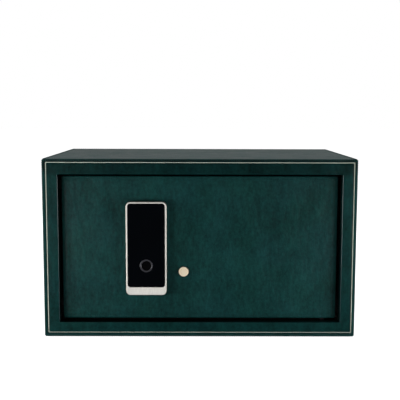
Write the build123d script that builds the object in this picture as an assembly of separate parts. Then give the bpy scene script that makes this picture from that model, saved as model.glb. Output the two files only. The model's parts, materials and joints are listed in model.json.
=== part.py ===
from build123d import *
import os
from math import acos, cos, pi, radians, sin, tan

# Leather-clad electronic safe. Millimetres, +Z up, origin on the floor at the middle of the footprint.
# The front faces -Y. The door is inset, hinged at its right edge, and its bolts are drawn back at rest.

# ---- Driving dimensions -------------------------------------------------------------------------
WIDTH = 430.0
DEPTH = 300.0
HEIGHT = 247.5
FOOT_HEIGHT = 1.0
FOOT_RADIUS = 11.0
LEATHER = 1.5                   # leather over the steel
FASCIA_LEATHER = 1.1            # thinner leather on the front face
SHEET = 2.0                     # wrapper, back and frame steel
CORNER_RADIUS = 3.2             # outer leather corners
BINDING_WIDTH = 4.0             # edge strip round the front and the back
BACK_LEATHER_STEP = 0.2         # back leather, below the face of its edge strip
STITCH_INSET = 5.0              # contrast stitch line, from the outer edge
STITCH_WIDTH = 1.2

OPENING_WIDTH = 387.8           # between the leather faces of the jambs
OPENING_LOW = 20.8
OPENING_HIGH = 226.5
JAMB_DEPTH = 22.0               # leather on the jambs, from the front
SIDE_RETURN_DEPTH = 23.5        # steel returns beside the door, from the front
TOP_RETURN_DEPTH = 32.0         # steel returns above and below it, which hold the hinge bushes

DOOR_GAP = 3.1
DOOR_RECESS = 12.5
DOOR_LEATHER = 1.5
DOOR_EDGE_LEATHER = 1.0
DOOR_PLATE = 4.0
PIVOT_FROM_EDGE = 18.0          # hinge axis, from the door's right edge
PIVOT_FROM_FACE = 9.5           # hinge axis, from the door's leather face
PIN_RADIUS = 3.0
RUNNING_CLEARANCE = 0.05
BUSH_RADIUS = 5.0
BUSH_STAND = 0.3                # bush, back from the jamb leather
BRACKET_HEIGHT = 8.0
FREE_GAP = 0.3                  # between bodies that only pass each other

STOP_ZS = ((29.0, 41.0), (205.0, 217.0))
STOP_INNER_X = -184.0
STOP_THICKNESS = 2.0
BUMPER = 1.2                    # rubber between the stops and the closed door, with a little air

PAD_X = -73.9
PAD_WIDTH = 56.6
PAD_LOW = 59.1
PAD_HIGH = 188.9
PAD_THICKNESS = 11.0
GLASS_WIDTH = 50.5
GLASS_LOW = 70.7
GLASS_HIGH = 186.0
SENSOR_Z = 100.2
SENSOR_RING = (8.9, 6.7)        # outer and inner radius

KEY_X = -22.2
KEY_Z = 90.5
KEY_CAP_RADIUS = 7.35
BARREL_RADIUS = 7.0
BARREL_REAR = -110.0
PLUG_RADIUS = 4.0
CAM_LENGTH = 19.0

BOLT_RADIUS = 8.0
BOLT_THROW = 18.0
BOLT_ZS = (85.5, 161.5)
BOLT_BEHIND_FRONT = 32.5        # bolt axis, from the front
BOLT_TIP_X = -190.0

GEAR_MODULE = 1.5
PINION_TEETH = 12
MOTOR_X = -100.0
RACK_PITCH_Z = 100.0

COVER_DEPTH = 38.0              # lock cover, behind the door plate
COVER_SHEET = 1.2
ANCHOR_RADIUS = 5.0
BASE_ANCHORS = (300.0, 160.0, 10.0)     # spacing in X and Y, and the pattern's middle in Y
BACK_ANCHORS = (300.0, 150.0)           # spacing in X, and height
MAT = 3.0
LINING = 2.0

# ---- Derived places -----------------------------------------------------------------------------
FRONT = -DEPTH / 2
REAR = DEPTH / 2
SIDE = WIDTH / 2
BODY_LOW = FOOT_HEIGHT
BODY_HIGH = HEIGHT
MID_Z = (BODY_LOW + BODY_HIGH) / 2
BODY_HEIGHT = BODY_HIGH - BODY_LOW
STEEL_SIDE = SIDE - LEATHER
STEEL_HEIGHT = BODY_HEIGHT - 2 * LEATHER
STEEL_RADIUS = CORNER_RADIUS - LEATHER
STEEL_FRONT = FRONT + LEATHER
STEEL_REAR = REAR - LEATHER
ROOM_SIDE = STEEL_SIDE - SHEET
ROOM_LOW = BODY_LOW + LEATHER + SHEET
ROOM_HIGH = BODY_HIGH - LEATHER - SHEET
ROOM_REAR = STEEL_REAR - SHEET
JAMB_STEEL_WIDTH = OPENING_WIDTH + 2 * LEATHER
TOP_RETURN_Z = OPENING_HIGH + LEATHER
BOTTOM_RETURN_Z = OPENING_LOW - LEATHER

DOOR_WIDTH = OPENING_WIDTH - 2 * DOOR_GAP
DOOR_SIDE = DOOR_WIDTH / 2
DOOR_LOW = OPENING_LOW + DOOR_GAP + 0.4
DOOR_HIGH = OPENING_HIGH - DOOR_GAP
DOOR_Z = (DOOR_LOW + DOOR_HIGH) / 2
DOOR_HEIGHT = DOOR_HIGH - DOOR_LOW
DOOR_FACE = FRONT + DOOR_RECESS
PLATE_FRONT = DOOR_FACE + DOOR_LEATHER
PLATE_REAR = PLATE_FRONT + DOOR_PLATE
PIVOT_X = DOOR_SIDE - PIVOT_FROM_EDGE
PIVOT_Y = DOOR_FACE + PIVOT_FROM_FACE
STOP_YS = (PLATE_REAR + 1.5, PLATE_REAR + 1.5 + STOP_THICKNESS)
BLOCK_ZS = ((DOOR_LOW + 1.3, 47.4), (200.4, DOOR_HIGH - 1.3))
BLOCK_REAR = PLATE_REAR + 12.0
PIN_ZS = ((BOTTOM_RETURN_Z - 9.0, 44.0), (203.0, TOP_RETURN_Z + 9.0))

PAD_Z = (PAD_LOW + PAD_HIGH) / 2
PAD_FRONT = DOOR_FACE - PAD_THICKNESS
PAD_BACK = DOOR_FACE - 0.4              # a thin gasket lies behind it
GLASS_Z = (GLASS_LOW + GLASS_HIGH) / 2
PAD_SCREW_ZS = (64.5, 184.6)
PAD_CABLE_SLOT = (20.0, 8.0, 150.0)     # width, height and middle height
PAD_BOARD_FRONT = PAD_FRONT + 3.2
PLUG_FRONT = DOOR_FACE + 2.9

BASE_REAR = PLATE_REAR + 2.0            # rear face of the lock chassis
CHASSIS = (-182.0, 16.0, 50.5, 195.5)   # low x, high x, low z, high z
CHASSIS_SCREWS = [(x, z) for x in (-160.0, 4.0) for z in (60.0, 186.0)]
COVER_REAR = PLATE_REAR + COVER_DEPTH
COVER_LEFT = -184.0
COVER_RIGHT = 128.0
COVER_LOW = 48.0
COVER_HIGH = 198.0
COVER_POSTS = [(x, z) for x in (-172.0, 116.0) for z in (56.0, 190.0)]
GUIDE_THICKNESS = 4.0
BOLT_Y = FRONT + BOLT_BEHIND_FRONT
FLANGE_X = -146.0                       # carriage flange, which the bolts are screwed to
FLANGE_FRONT = -126.0
FLANGE_ZS = (72.0, 175.0)
BOLT_SCREW_RADIUS = 3.0
CARRIAGE_SHEET = 3.0
CARRIAGE_FRONT = -103.0
CARRIAGE_REAR = CARRIAGE_FRONT + CARRIAGE_SHEET
CARRIAGE_RIGHT = -56.0
CARRIAGE_ZS = (104.0, 146.0)
POST_XS = (-130.0, -84.0)
POST_Z = 125.0
POST_RADIUS = 3.0
PITCH_RADIUS = GEAR_MODULE * PINION_TEETH / 2
TOOTH_PITCH = pi * GEAR_MODULE
PRESSURE_ANGLE = radians(20)
HALF_TOOTH = 1.0                        # half a tooth's thickness on the pitch line, with backlash
RACK_TIP = 1.0
PINION_TIP = 1.2
TOOTH_ROOT = 1.9
MOTOR_Z = RACK_PITCH_Z - PITCH_RADIUS
MOTOR_FACE = -106.0
GEARBOX_RADIUS = 12.5
GEARBOX_LENGTH = 10.0
MOTOR_CAN_RADIUS = 11.5
BRACKET_SHEET = 1.6
BRACKET_HALF = (16.0, 12.0)             # half width and half height
SHAFT_RADIUS = 2.0

BOARD = (-40.0, 12.0, 118.0, 182.0)     # low x, high x, low z, high z
BOARD_FRONT = -125.0
BOARD_THICKNESS = 1.6
BUTTON_X, BUTTON_Z = 0.0, 134.0

CELL_RADIUS = 7.25
CELL_LENGTH = 50.5
CELL_PITCH = 15.5
CELL_Y = -122.5
HOLDER = (36.0, 104.0, 86.0, 150.0)     # low x, high x, low z, high z
HOLDER_REAR = -114.0
HOLDER_WALL = 2.0
LID_MARGIN = 2.0                        # battery window, beyond the holder


# ---- Shapes -------------------------------------------------------------------------------------
def span(x, y, z):
    """A box between pairs of limits."""
    size = (x[1] - x[0], y[1] - y[0], z[1] - z[0])
    middle = ((x[0] + x[1]) / 2, (y[0] + y[1]) / 2, (z[0] + z[1]) / 2)
    return Pos(*middle) * Box(*size)


def rod_x(radius, x, y, z):
    return Pos((x[0] + x[1]) / 2, y, z) * Rot(0, 90, 0) * Cylinder(radius, x[1] - x[0])


def rod_y(radius, x, y, z):
    return Pos(x, (y[0] + y[1]) / 2, z) * Rot(90, 0, 0) * Cylinder(radius, y[1] - y[0])


def rod_z(radius, x, y, z):
    return Pos(x, y, (z[0] + z[1]) / 2) * Cylinder(radius, z[1] - z[0])


def prism_y(outline, y):
    """An outline drawn in X and Z, carried from y[0] to y[1]."""
    return extrude(Pos(0, y[1], 0) * (Plane.XZ * outline), amount=y[1] - y[0], dir=(0, -1, 0))


def slab(width, height, radius, y, x=0.0, z=0.0):
    """A rounded rectangle in X and Z, carried from y[0] to y[1]."""
    return prism_y(Pos(x, z) * RectangleRounded(width, height, radius), y)


def save(name, shape):
    export_step(shape, f"parts/{name}.step")


def group(solids):
    """Separate identical solids kept as one node."""
    return Compound(children=list(solids))


def screw(radius, head_radius, head, length, place):
    """A screw along +Y with its head at the +Y end; place is the point under the head."""
    x, y, z = place
    body = rod_y(radius, x, (y - length, y), z) + rod_y(head_radius, x, (y, y + head), z)
    drive = prism_y(Pos(x, z) * RegularPolygon(radius * 0.75, 6), (y + head * 0.4, y + head + 1))
    return body - drive


# ---- Cabinet ------------------------------------------------------------------------------------
def steel_envelope(y):
    return slab(2 * STEEL_SIDE, STEEL_HEIGHT, STEEL_RADIUS, y, z=MID_Z)


def base_anchor_holes():
    spacing_x, spacing_y, middle = BASE_ANCHORS
    return [
        rod_z(ANCHOR_RADIUS, sx * spacing_x / 2, middle + sy * spacing_y / 2, (0, 20))
        for sx in (-1, 1) for sy in (-1, 1)
    ]


def back_anchor_holes():
    spacing, height = BACK_ANCHORS
    return [rod_y(ANCHOR_RADIUS, sx * spacing / 2, (REAR - 20, REAR + 1), height) for sx in (-1, 1)]


def steel_wrapper():
    """Four walls folded from one sheet, open at the front and the back."""
    room = span((-ROOM_SIDE, ROOM_SIDE), (FRONT, REAR), (ROOM_LOW, ROOM_HIGH))
    return steel_envelope((STEEL_FRONT, STEEL_REAR)) - room - base_anchor_holes()


def back_panel():
    return span((-ROOM_SIDE, ROOM_SIDE), (ROOM_REAR, STEEL_REAR), (ROOM_LOW, ROOM_HIGH)) - back_anchor_holes()


def hinge_holes(radius):
    return [rod_z(radius, PIVOT_X, PIVOT_Y, z) for z in ((BODY_LOW, DOOR_Z), (DOOR_Z, BODY_HIGH))]


def door_frame():
    """Front ring with returns beside, above and below the door."""
    side = JAMB_STEEL_WIDTH / 2
    inside = span((-side, side), (FRONT, FRONT + SIDE_RETURN_DEPTH + 1), (BOTTOM_RETURN_Z, TOP_RETURN_Z))
    face = span((-ROOM_SIDE, ROOM_SIDE), (STEEL_FRONT, STEEL_FRONT + SHEET), (ROOM_LOW, ROOM_HIGH)) - inside
    returns = span((-side - SHEET, side + SHEET), (STEEL_FRONT + SHEET, FRONT + SIDE_RETURN_DEPTH),
                   (BOTTOM_RETURN_Z - SHEET, TOP_RETURN_Z + SHEET)) - inside
    reach = (FRONT + SIDE_RETURN_DEPTH, FRONT + TOP_RETURN_DEPTH)
    sides = (-DOOR_SIDE, DOOR_SIDE)
    top = span(sides, reach, (TOP_RETURN_Z, TOP_RETURN_Z + SHEET))
    bottom = span(sides, reach, (BOTTOM_RETURN_Z - SHEET, BOTTOM_RETURN_Z))
    return face + returns + top + bottom - hinge_holes(BUSH_RADIUS)


def leather_sleeve(y):
    return slab(WIDTH, BODY_HEIGHT, CORNER_RADIUS, y, z=MID_Z) - steel_envelope((y[0] - 1, y[1] + 1))


def mitred_panels():
    """The leather sleeve cut at 45 degrees through its four corners into top, bottom, left and right."""
    y = (FRONT + BINDING_WIDTH, REAR - BINDING_WIDTH)
    sleeve = leather_sleeve(y)
    out, deep = 1.0, 6.0            # each cut runs from outside the corner to inside the leather
    x0, x1, z0, z1 = -SIDE, SIDE, BODY_LOW, BODY_HIGH
    outlines = {
        "top": [(x0 - out, z1 + out), (x1 + out, z1 + out), (x1 - deep, z1 - deep), (x0 + deep, z1 - deep)],
        "bottom": [(x0 - out, z0 - out), (x1 + out, z0 - out), (x1 - deep, z0 + deep), (x0 + deep, z0 + deep)],
        "left": [(x0 - out, z0 - out), (x0 - out, z1 + out), (x0 + deep, z1 - deep), (x0 + deep, z0 + deep)],
        "right": [(x1 + out, z0 - out), (x1 + out, z1 + out), (x1 - deep, z1 - deep), (x1 - deep, z0 + deep)],
    }
    panels = {}
    for name, points in outlines.items():
        wedge = prism_y(make_face(Polyline(*points, close=True)), (y[0] - 1, y[1] + 1))
        panels[name] = sleeve & wedge
    panels["bottom"] -= base_anchor_holes()
    return panels


def binding(y):
    """Edge strip folded round the front or the back edge of the sleeve."""
    inner = span((-SIDE + BINDING_WIDTH, SIDE - BINDING_WIDTH), (y[0] - 1, y[1] + 1),
                 (BODY_LOW + BINDING_WIDTH, BODY_HIGH - BINDING_WIDTH))
    strip = slab(WIDTH, BODY_HEIGHT, CORNER_RADIUS, y, z=MID_Z) - inner
    return strip - steel_envelope((STEEL_FRONT, STEEL_REAR))


def back_leather():
    half = SIDE - BINDING_WIDTH
    z = (BODY_LOW + BINDING_WIDTH, BODY_HIGH - BINDING_WIDTH)
    panel = span((-half, half), (STEEL_REAR, REAR - BACK_LEATHER_STEP), z)
    return panel - back_anchor_holes()


def fascia_leather():
    """Leather over the front ring, turned in over the jambs."""
    front_y = (STEEL_FRONT - FASCIA_LEATHER, STEEL_FRONT)
    opening = span((-OPENING_WIDTH / 2, OPENING_WIDTH / 2), (FRONT - 1, FRONT + JAMB_DEPTH + 1),
                   (OPENING_LOW, OPENING_HIGH))
    face = span((-SIDE + BINDING_WIDTH, SIDE - BINDING_WIDTH), front_y,
                (BODY_LOW + BINDING_WIDTH, BODY_HIGH - BINDING_WIDTH))
    jamb = span((-JAMB_STEEL_WIDTH / 2, JAMB_STEEL_WIDTH / 2), (STEEL_FRONT, FRONT + JAMB_DEPTH),
                (BOTTOM_RETURN_Z, TOP_RETURN_Z))
    notches = [
        span((-SIDE, STOP_INNER_X), (STOP_YS[0] - 1.5, 0), (z[0] - 0.5, z[1] + 0.5)) for z in STOP_ZS
    ]
    return face + jamb - opening - notches - hinge_holes(BUSH_RADIUS + 1.5)


def contrast_stitching():
    """Four runs of pale thread on the fascia, just inside the edge strip."""
    y = (FRONT, STEEL_FRONT - FASCIA_LEATHER)
    x = SIDE - STITCH_INSET
    z0, z1 = BODY_LOW + STITCH_INSET, BODY_HIGH - STITCH_INSET
    half = STITCH_WIDTH / 2
    runs = [span((-x - half, x + half), y, (z - half, z + half)) for z in (z0, z1)]
    runs += [span((s * x - half, s * x + half), y, (z0 + half, z1 - half)) for s in (-1, 1)]
    return group(runs)


def floor_mat():
    mat = span((-ROOM_SIDE, ROOM_SIDE), (FRONT + TOP_RETURN_DEPTH, ROOM_REAR), (ROOM_LOW, ROOM_LOW + MAT))
    return mat - base_anchor_holes()


def wall_linings():
    """Boards on the back, the two sides and the roof."""
    low = ROOM_LOW + MAT
    front = FRONT + TOP_RETURN_DEPTH
    back = span((-ROOM_SIDE, ROOM_SIDE), (ROOM_REAR - LINING, ROOM_REAR), (low, ROOM_HIGH))
    run = (front, ROOM_REAR - LINING)
    side_xs = ((-ROOM_SIDE, -ROOM_SIDE + LINING), (ROOM_SIDE - LINING, ROOM_SIDE))
    return {
        "back_lining": back - back_anchor_holes(),
        "side_linings": group(span(x, run, (low, ROOM_HIGH - LINING)) for x in side_xs),
        "roof_lining": span((-ROOM_SIDE, ROOM_SIDE), run, (ROOM_HIGH - LINING, ROOM_HIGH)),
    }


def hinge_brackets():
    """Blocks welded over and under the frame's returns, which hold the bushes."""
    x = (PIVOT_X - 13, PIVOT_X + 13)
    y = (PIVOT_Y - 12, FRONT + TOP_RETURN_DEPTH)
    low = TOP_RETURN_Z + SHEET
    high = BOTTOM_RETURN_Z - SHEET
    heights = ((high - BRACKET_HEIGHT, high), (low, low + BRACKET_HEIGHT))
    return group(span(x, y, z) - hinge_holes(BUSH_RADIUS) for z in heights)


def hinge_bushes():
    bore = PIN_RADIUS + RUNNING_CLEARANCE
    upper = (OPENING_HIGH + BUSH_STAND, TOP_RETURN_Z + SHEET + BRACKET_HEIGHT)
    lower = (BOTTOM_RETURN_Z - SHEET - BRACKET_HEIGHT, OPENING_LOW - BUSH_STAND)
    return group(
        rod_z(BUSH_RADIUS, PIVOT_X, PIVOT_Y, z) - rod_z(bore, PIVOT_X, PIVOT_Y, (z[0] - 1, z[1] + 1))
        for z in (lower, upper)
    )


def door_stops():
    return group(span((-JAMB_STEEL_WIDTH / 2, STOP_INNER_X), STOP_YS, z) for z in STOP_ZS)


def stop_bumpers():
    """Rubber pads that the door closes onto."""
    x = (STOP_INNER_X - 8, STOP_INNER_X - 1)
    y = (STOP_YS[0] - BUMPER, STOP_YS[0])
    return group(span(x, y, (z[0] + 2, z[1] - 2)) for z in STOP_ZS)


def rubber_feet():
    places = [(sx * (SIDE - 25), sy * (REAR - 25)) for sx in (-1, 1) for sy in (-1, 1)]
    feet = []
    for x, y in places:
        foot = rod_z(FOOT_RADIUS, x, y, (0, FOOT_HEIGHT))
        feet.append(chamfer(foot.edges().group_by(Axis.Z)[0], 0.3))
    return group(feet)


# ---- Door ---------------------------------------------------------------------------------------
def door_cutouts(y):
    """Openings for the key barrel, the pad's cable and the pad's screws."""
    width, height, z = PAD_CABLE_SLOT
    cuts = [rod_y(BARREL_RADIUS, KEY_X, y, KEY_Z)]
    cuts.append(span((PAD_X - width / 2, PAD_X + width / 2), y, (z - height / 2, z + height / 2)))
    cuts += [rod_y(1.8, PAD_X, y, screw_z) for screw_z in PAD_SCREW_ZS]
    return cuts


def door_plate():
    y = (PLATE_FRONT, PLATE_REAR)
    width = DOOR_WIDTH - 2 * DOOR_EDGE_LEATHER
    height = DOOR_HEIGHT - 2 * DOOR_EDGE_LEATHER
    plate = slab(width, height, 1.0, y, z=DOOR_Z) - door_cutouts((y[0] - 1, y[1] + 1))
    return plate - [rod_y(2.1, x, (PLATE_REAR - 3, PLATE_REAR + 1), z) for x, z in CHASSIS_SCREWS]


def door_leather():
    """Leather over the door's face and its four edges."""
    skin = slab(DOOR_WIDTH, DOOR_HEIGHT, 2.0, (DOOR_FACE, PLATE_REAR), z=DOOR_Z)
    width = DOOR_WIDTH - 2 * DOOR_EDGE_LEATHER
    height = DOOR_HEIGHT - 2 * DOOR_EDGE_LEATHER
    skin -= slab(width, height, 1.0, (PLATE_FRONT, PLATE_REAR + 1), z=DOOR_Z)
    return skin - door_cutouts((DOOR_FACE - 1, PLATE_FRONT + 0.5))


def hinge_blocks():
    """Blocks welded behind the plate, which hold the hinge pins."""
    x = (PIVOT_X - 9, PIVOT_X + 9)
    return group(
        span(x, (PLATE_REAR, BLOCK_REAR), z) - rod_z(PIN_RADIUS, PIVOT_X, PIVOT_Y, pin)
        for z, pin in zip(BLOCK_ZS, PIN_ZS)
    )


def hinge_pins():
    """Pins with a chamfered outer end."""
    pins = []
    for z, outer in zip(PIN_ZS, (0, -1)):
        pin = rod_z(PIN_RADIUS, PIVOT_X, PIVOT_Y, z)
        pins.append(chamfer(pin.edges().group_by(Axis.Z)[outer], 0.8))
    return group(pins)


def hinge_spacer():
    """Sleeve on the lower pin, which carries the door's weight on the lower bush."""
    z = (OPENING_LOW, BLOCK_ZS[0][0])
    return rod_z(3.9, PIVOT_X, PIVOT_Y, z) - rod_z(PIN_RADIUS, PIVOT_X, PIVOT_Y, (z[0] - 1, z[1] + 1))


def lock_chassis():
    """Base plate behind the door plate, with standoffs for the control board."""
    x0, x1, z0, z1 = CHASSIS
    y = (PLATE_REAR, BASE_REAR)
    cut = (y[0] - 1, y[1] + 1)
    width, height, slot_z = PAD_CABLE_SLOT
    plate = span((x0, x1), y, (z0, z1))
    plate -= rod_y(BARREL_RADIUS, KEY_X, cut, KEY_Z)
    plate -= span((PAD_X - width / 2, PAD_X + width / 2), cut, (slot_z - height / 2, slot_z + height / 2))
    plate -= [rod_y(5.0, PAD_X, cut, z) for z in PAD_SCREW_ZS]
    plate -= [rod_y(2.1, x, cut, z) for x, z in CHASSIS_SCREWS]
    plate -= [rod_y(4.0, x, cut, z) for x, z in COVER_POSTS if x < x1]
    for x in (BOARD[0] + 4, BOARD[1] - 4):
        for z in (BOARD[2] + 4, BOARD[3] - 4):
            plate += rod_y(3.0, x, (BASE_REAR, BOARD_FRONT), z)
    return plate


def chassis_screws():
    return group(screw(2.0, 3.6, 2.2, 4.0, (x, BASE_REAR, z)) for x, z in CHASSIS_SCREWS)


def bolt_guide():
    """End plate whose two bores carry the bolts. It closes the lock cover's left end."""
    x = (COVER_LEFT - GUIDE_THICKNESS, COVER_LEFT)
    plate = span(x, (PLATE_REAR, COVER_REAR), (COVER_LOW, COVER_HIGH))
    bore = BOLT_RADIUS + RUNNING_CLEARANCE
    return plate - [rod_x(bore, (x[0] - 1, x[1] + 1), BOLT_Y, z) for z in BOLT_ZS]


def carriage_posts():
    """Two headed posts that the slots of the carriage run on."""
    posts = []
    for x in POST_XS:
        post = rod_y(POST_RADIUS, x, (BASE_REAR, CARRIAGE_REAR + 3.4), POST_Z)
        posts.append(post + rod_y(5.5, x, (CARRIAGE_REAR + 0.4, CARRIAGE_REAR + 3.4), POST_Z))
    return group(posts)


def gear_motor():
    """Motor can, gearbox and front boss, with a bore for the output shaft."""
    split = MOTOR_FACE - GEARBOX_LENGTH
    gearbox = rod_y(GEARBOX_RADIUS, MOTOR_X, (split, MOTOR_FACE), MOTOR_Z)
    can = rod_y(MOTOR_CAN_RADIUS, MOTOR_X, (BASE_REAR, split), MOTOR_Z)
    boss = rod_y(4.0, MOTOR_X, (MOTOR_FACE, MOTOR_FACE + BRACKET_SHEET), MOTOR_Z)
    bore = rod_y(SHAFT_RADIUS + RUNNING_CLEARANCE, MOTOR_X, (MOTOR_FACE - 6.5, 0), MOTOR_Z)
    return gearbox + can + boss - bore


def motor_bracket():
    """Folded strap over the motor's face, with a leg each side."""
    y = (MOTOR_FACE, MOTOR_FACE + BRACKET_SHEET)
    left, right = MOTOR_X - BRACKET_HALF[0], MOTOR_X + BRACKET_HALF[0]
    z = (MOTOR_Z - BRACKET_HALF[1], MOTOR_Z + BRACKET_HALF[1])
    face = span((left, right), y, z)
    leg_xs = ((left, left + BRACKET_SHEET), (right - BRACKET_SHEET, right))
    legs = [span(x, (BASE_REAR, MOTOR_FACE), z) for x in leg_xs]
    return face + legs - rod_y(4.1, MOTOR_X, (y[0] - 1, y[1] + 1), MOTOR_Z)


def control_board():
    """Board with a relay, a chip, a buzzer and a connector."""
    x0, x1, z0, z1 = BOARD
    rear = BOARD_FRONT + BOARD_THICKNESS
    board = span((x0, x1), (BOARD_FRONT, rear), (z0, z1))
    board += span((x0 + 8, x0 + 24), (rear, rear + 10), (z0 + 10, z0 + 22))
    board += span((x0 + 12, x0 + 24), (rear, rear + 1.6), (z1 - 30, z1 - 18))
    board += rod_y(6.0, x1 - 14, (rear, rear + 8), z1 - 22)
    board += span((x0 + 4, x0 + 16), (rear, rear + 6), (z1 - 12, z1 - 6))
    return board


def reset_switch():
    rear = BOARD_FRONT + BOARD_THICKNESS
    body = span((BUTTON_X - 5, BUTTON_X + 5), (rear, rear + 6), (BUTTON_Z - 5, BUTTON_Z + 5))
    return body - rod_y(2.8, BUTTON_X, (rear + 1, rear + 7), BUTTON_Z)


def reset_button():
    """Pin that comes out through the lock cover."""
    button = rod_y(2.5, BUTTON_X, (BOARD_FRONT + BOARD_THICKNESS + 3.0, COVER_REAR + 1.5), BUTTON_Z)
    return chamfer(button.edges().group_by(Axis.Y)[-1], 0.5)


def cell_xs():
    middle = (HOLDER[0] + HOLDER[1]) / 2
    return [middle + (i - 1.5) * CELL_PITCH for i in range(4)]


def battery_holder():
    x0, x1, z0, z1 = HOLDER
    tray = span((x0, x1), (PLATE_REAR, HOLDER_REAR), (z0, z1))
    inside = span((x0 + HOLDER_WALL, x1 - HOLDER_WALL), (PLATE_REAR + HOLDER_WALL, 0),
                  (z0 + HOLDER_WALL, z1 - HOLDER_WALL))
    return tray - inside


def battery_cells():
    """Four AA cells, each with its nipple, turned end for end in turn."""
    middle = (HOLDER[2] + HOLDER[3]) / 2
    cells = []
    for i, x in enumerate(cell_xs()):
        up = 1 if i % 2 else -1
        body = rod_z(CELL_RADIUS, x, CELL_Y, (middle - CELL_LENGTH / 2 + 0.5, middle + CELL_LENGTH / 2 - 0.5))
        tip = middle + up * (CELL_LENGTH / 2)
        nipple = rod_z(2.7, x, CELL_Y, (min(tip, tip - up), max(tip, tip - up)))
        cells.append(body + nipple)
    return group(cells)


def battery_contacts():
    """A plate and a short spring or button at each end of each cell."""
    middle = (HOLDER[2] + HOLDER[3]) / 2
    inner = (HOLDER[3] - HOLDER[2]) / 2 - HOLDER_WALL
    pieces = []
    for x in cell_xs():
        for end in (-1, 1):
            wall = middle + end * inner
            tip = middle + end * (CELL_LENGTH / 2)
            plate = wall - end * 0.5
            pieces.append(
                span((x - 5, x + 5), (CELL_Y - 5, CELL_Y + 5), (min(wall, plate), max(wall, plate)))
                + rod_z(2.2, x, CELL_Y, (min(plate, tip), max(plate, tip)))
            )
    return group(pieces)


def battery_window(margin):
    x0, x1, z0, z1 = HOLDER
    reach = LID_MARGIN - margin
    return (x0 - reach, x1 + reach), (z0 - reach, z1 + reach)


def lock_cover():
    """Folded tray over the lock, open at its left end, with a battery window."""
    x = (COVER_LEFT, COVER_RIGHT)
    z = (COVER_LOW, COVER_HIGH)
    shell = span(x, (PLATE_REAR, COVER_REAR), z)
    shell -= span((x[0] - 1, x[1] - COVER_SHEET), (PLATE_REAR - 1, COVER_REAR - COVER_SHEET),
                  (z[0] + COVER_SHEET, z[1] - COVER_SHEET))
    through = (COVER_REAR - 5, COVER_REAR + 5)
    window_x, window_z = battery_window(0.0)
    shell -= span(window_x, through, window_z)
    shell -= rod_y(3.0, BUTTON_X, through, BUTTON_Z)
    shell -= [rod_y(1.6, px, through, pz) for px, pz in COVER_POSTS]
    long_edges = shell.edges().filter_by(Axis.X).group_by(Axis.Y)[-1].group_by(Axis.Z)
    return fillet(long_edges[0] + long_edges[-1], 1.0)


def cover_posts():
    posts = []
    for x, z in COVER_POSTS:
        post = rod_y(4.0, x, (PLATE_REAR, COVER_REAR - COVER_SHEET), z)
        posts.append(post - rod_y(1.6, x, (COVER_REAR - COVER_SHEET - 10, COVER_REAR), z))
    return group(posts)


def cover_screws():
    return group(screw(1.5, 3.2, 1.8, 8.0, (x, COVER_REAR, z)) for x, z in COVER_POSTS)


def battery_cover():
    """Lid of the battery window, with a raised grip."""
    window_x, window_z = battery_window(FREE_GAP)
    y = (COVER_REAR - 1.4, COVER_REAR + 0.4)
    lid = span(window_x, y, window_z)
    middle = (window_x[0] + window_x[1]) / 2
    for i in range(5):
        z = window_z[1] - 8 - 3 * i
        lid += span((middle - 10, middle + 10), (y[1], y[1] + 0.6), (z - 0.6, z + 0.6))
    return lid


# ---- Bolt work ----------------------------------------------------------------------------------
def rack_teeth():
    """Straight-sided teeth on the lower edge of the carriage."""
    slope = tan(PRESSURE_ANGLE)
    tip = HALF_TOOTH - RACK_TIP * slope
    root = HALF_TOOTH + TOOTH_ROOT * slope
    low, high = RACK_PITCH_Z - RACK_TIP, RACK_PITCH_Z + TOOTH_ROOT
    teeth = []
    for i in range(-2, 6):
        x = MOTOR_X + (i + 0.5) * TOOTH_PITCH
        points = [(x - tip, low), (x + tip, low), (x + root, high), (x - root, high)]
        teeth.append(prism_y(make_face(Polyline(*points, close=True)), (CARRIAGE_FRONT, CARRIAGE_REAR)))
    return teeth


def bolt_carriage():
    """Folded plate: a flange behind the bolts and a slotted, toothed slide."""
    flange = span((FLANGE_X, FLANGE_X + CARRIAGE_SHEET), (FLANGE_FRONT, CARRIAGE_REAR), FLANGE_ZS)
    y = (CARRIAGE_FRONT, CARRIAGE_REAR)
    slide = span((FLANGE_X + CARRIAGE_SHEET, CARRIAGE_RIGHT), y, CARRIAGE_ZS)
    rack = span((MOTOR_X - 12, MOTOR_X + 32), y, (RACK_PITCH_Z + TOOTH_ROOT, CARRIAGE_ZS[0]))
    carriage = flange + slide + rack + rack_teeth()
    half = POST_RADIUS + 0.1
    for x in POST_XS:
        x1 = x + BOLT_THROW
        cut = (y[0] - 1, y[1] + 1)
        carriage -= span((x, x1), cut, (POST_Z - half, POST_Z + half))
        carriage -= [rod_y(half + 0.3, end, cut, POST_Z) for end in (x, x1)]
    holes = [rod_x(BOLT_SCREW_RADIUS + 0.1, (FLANGE_X - 1, FLANGE_X + 10), BOLT_Y, z) for z in BOLT_ZS]
    return carriage - holes


def bolts():
    made = {}
    for name, z in zip(("bolt_lower", "bolt_upper"), BOLT_ZS):
        bar = rod_x(BOLT_RADIUS, (BOLT_TIP_X, FLANGE_X), BOLT_Y, z)
        bar = chamfer(bar.edges().group_by(Axis.X)[0], 1.5)
        made[name] = bar - rod_x(BOLT_SCREW_RADIUS + 0.1, (FLANGE_X - 14, FLANGE_X + 1), BOLT_Y, z)
    return made


def bolt_screws():
    screws = []
    head_x = FLANGE_X + CARRIAGE_SHEET
    for z in BOLT_ZS:
        body = rod_x(BOLT_SCREW_RADIUS, (FLANGE_X - 12, head_x), BOLT_Y, z)
        body += rod_x(5.0, (head_x, head_x + 4), BOLT_Y, z)
        screws.append(body - rod_x(2.4, (head_x + 2, head_x + 5), BOLT_Y, z))
    return group(screws)


def involute(angle):
    return tan(angle) - angle


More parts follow.
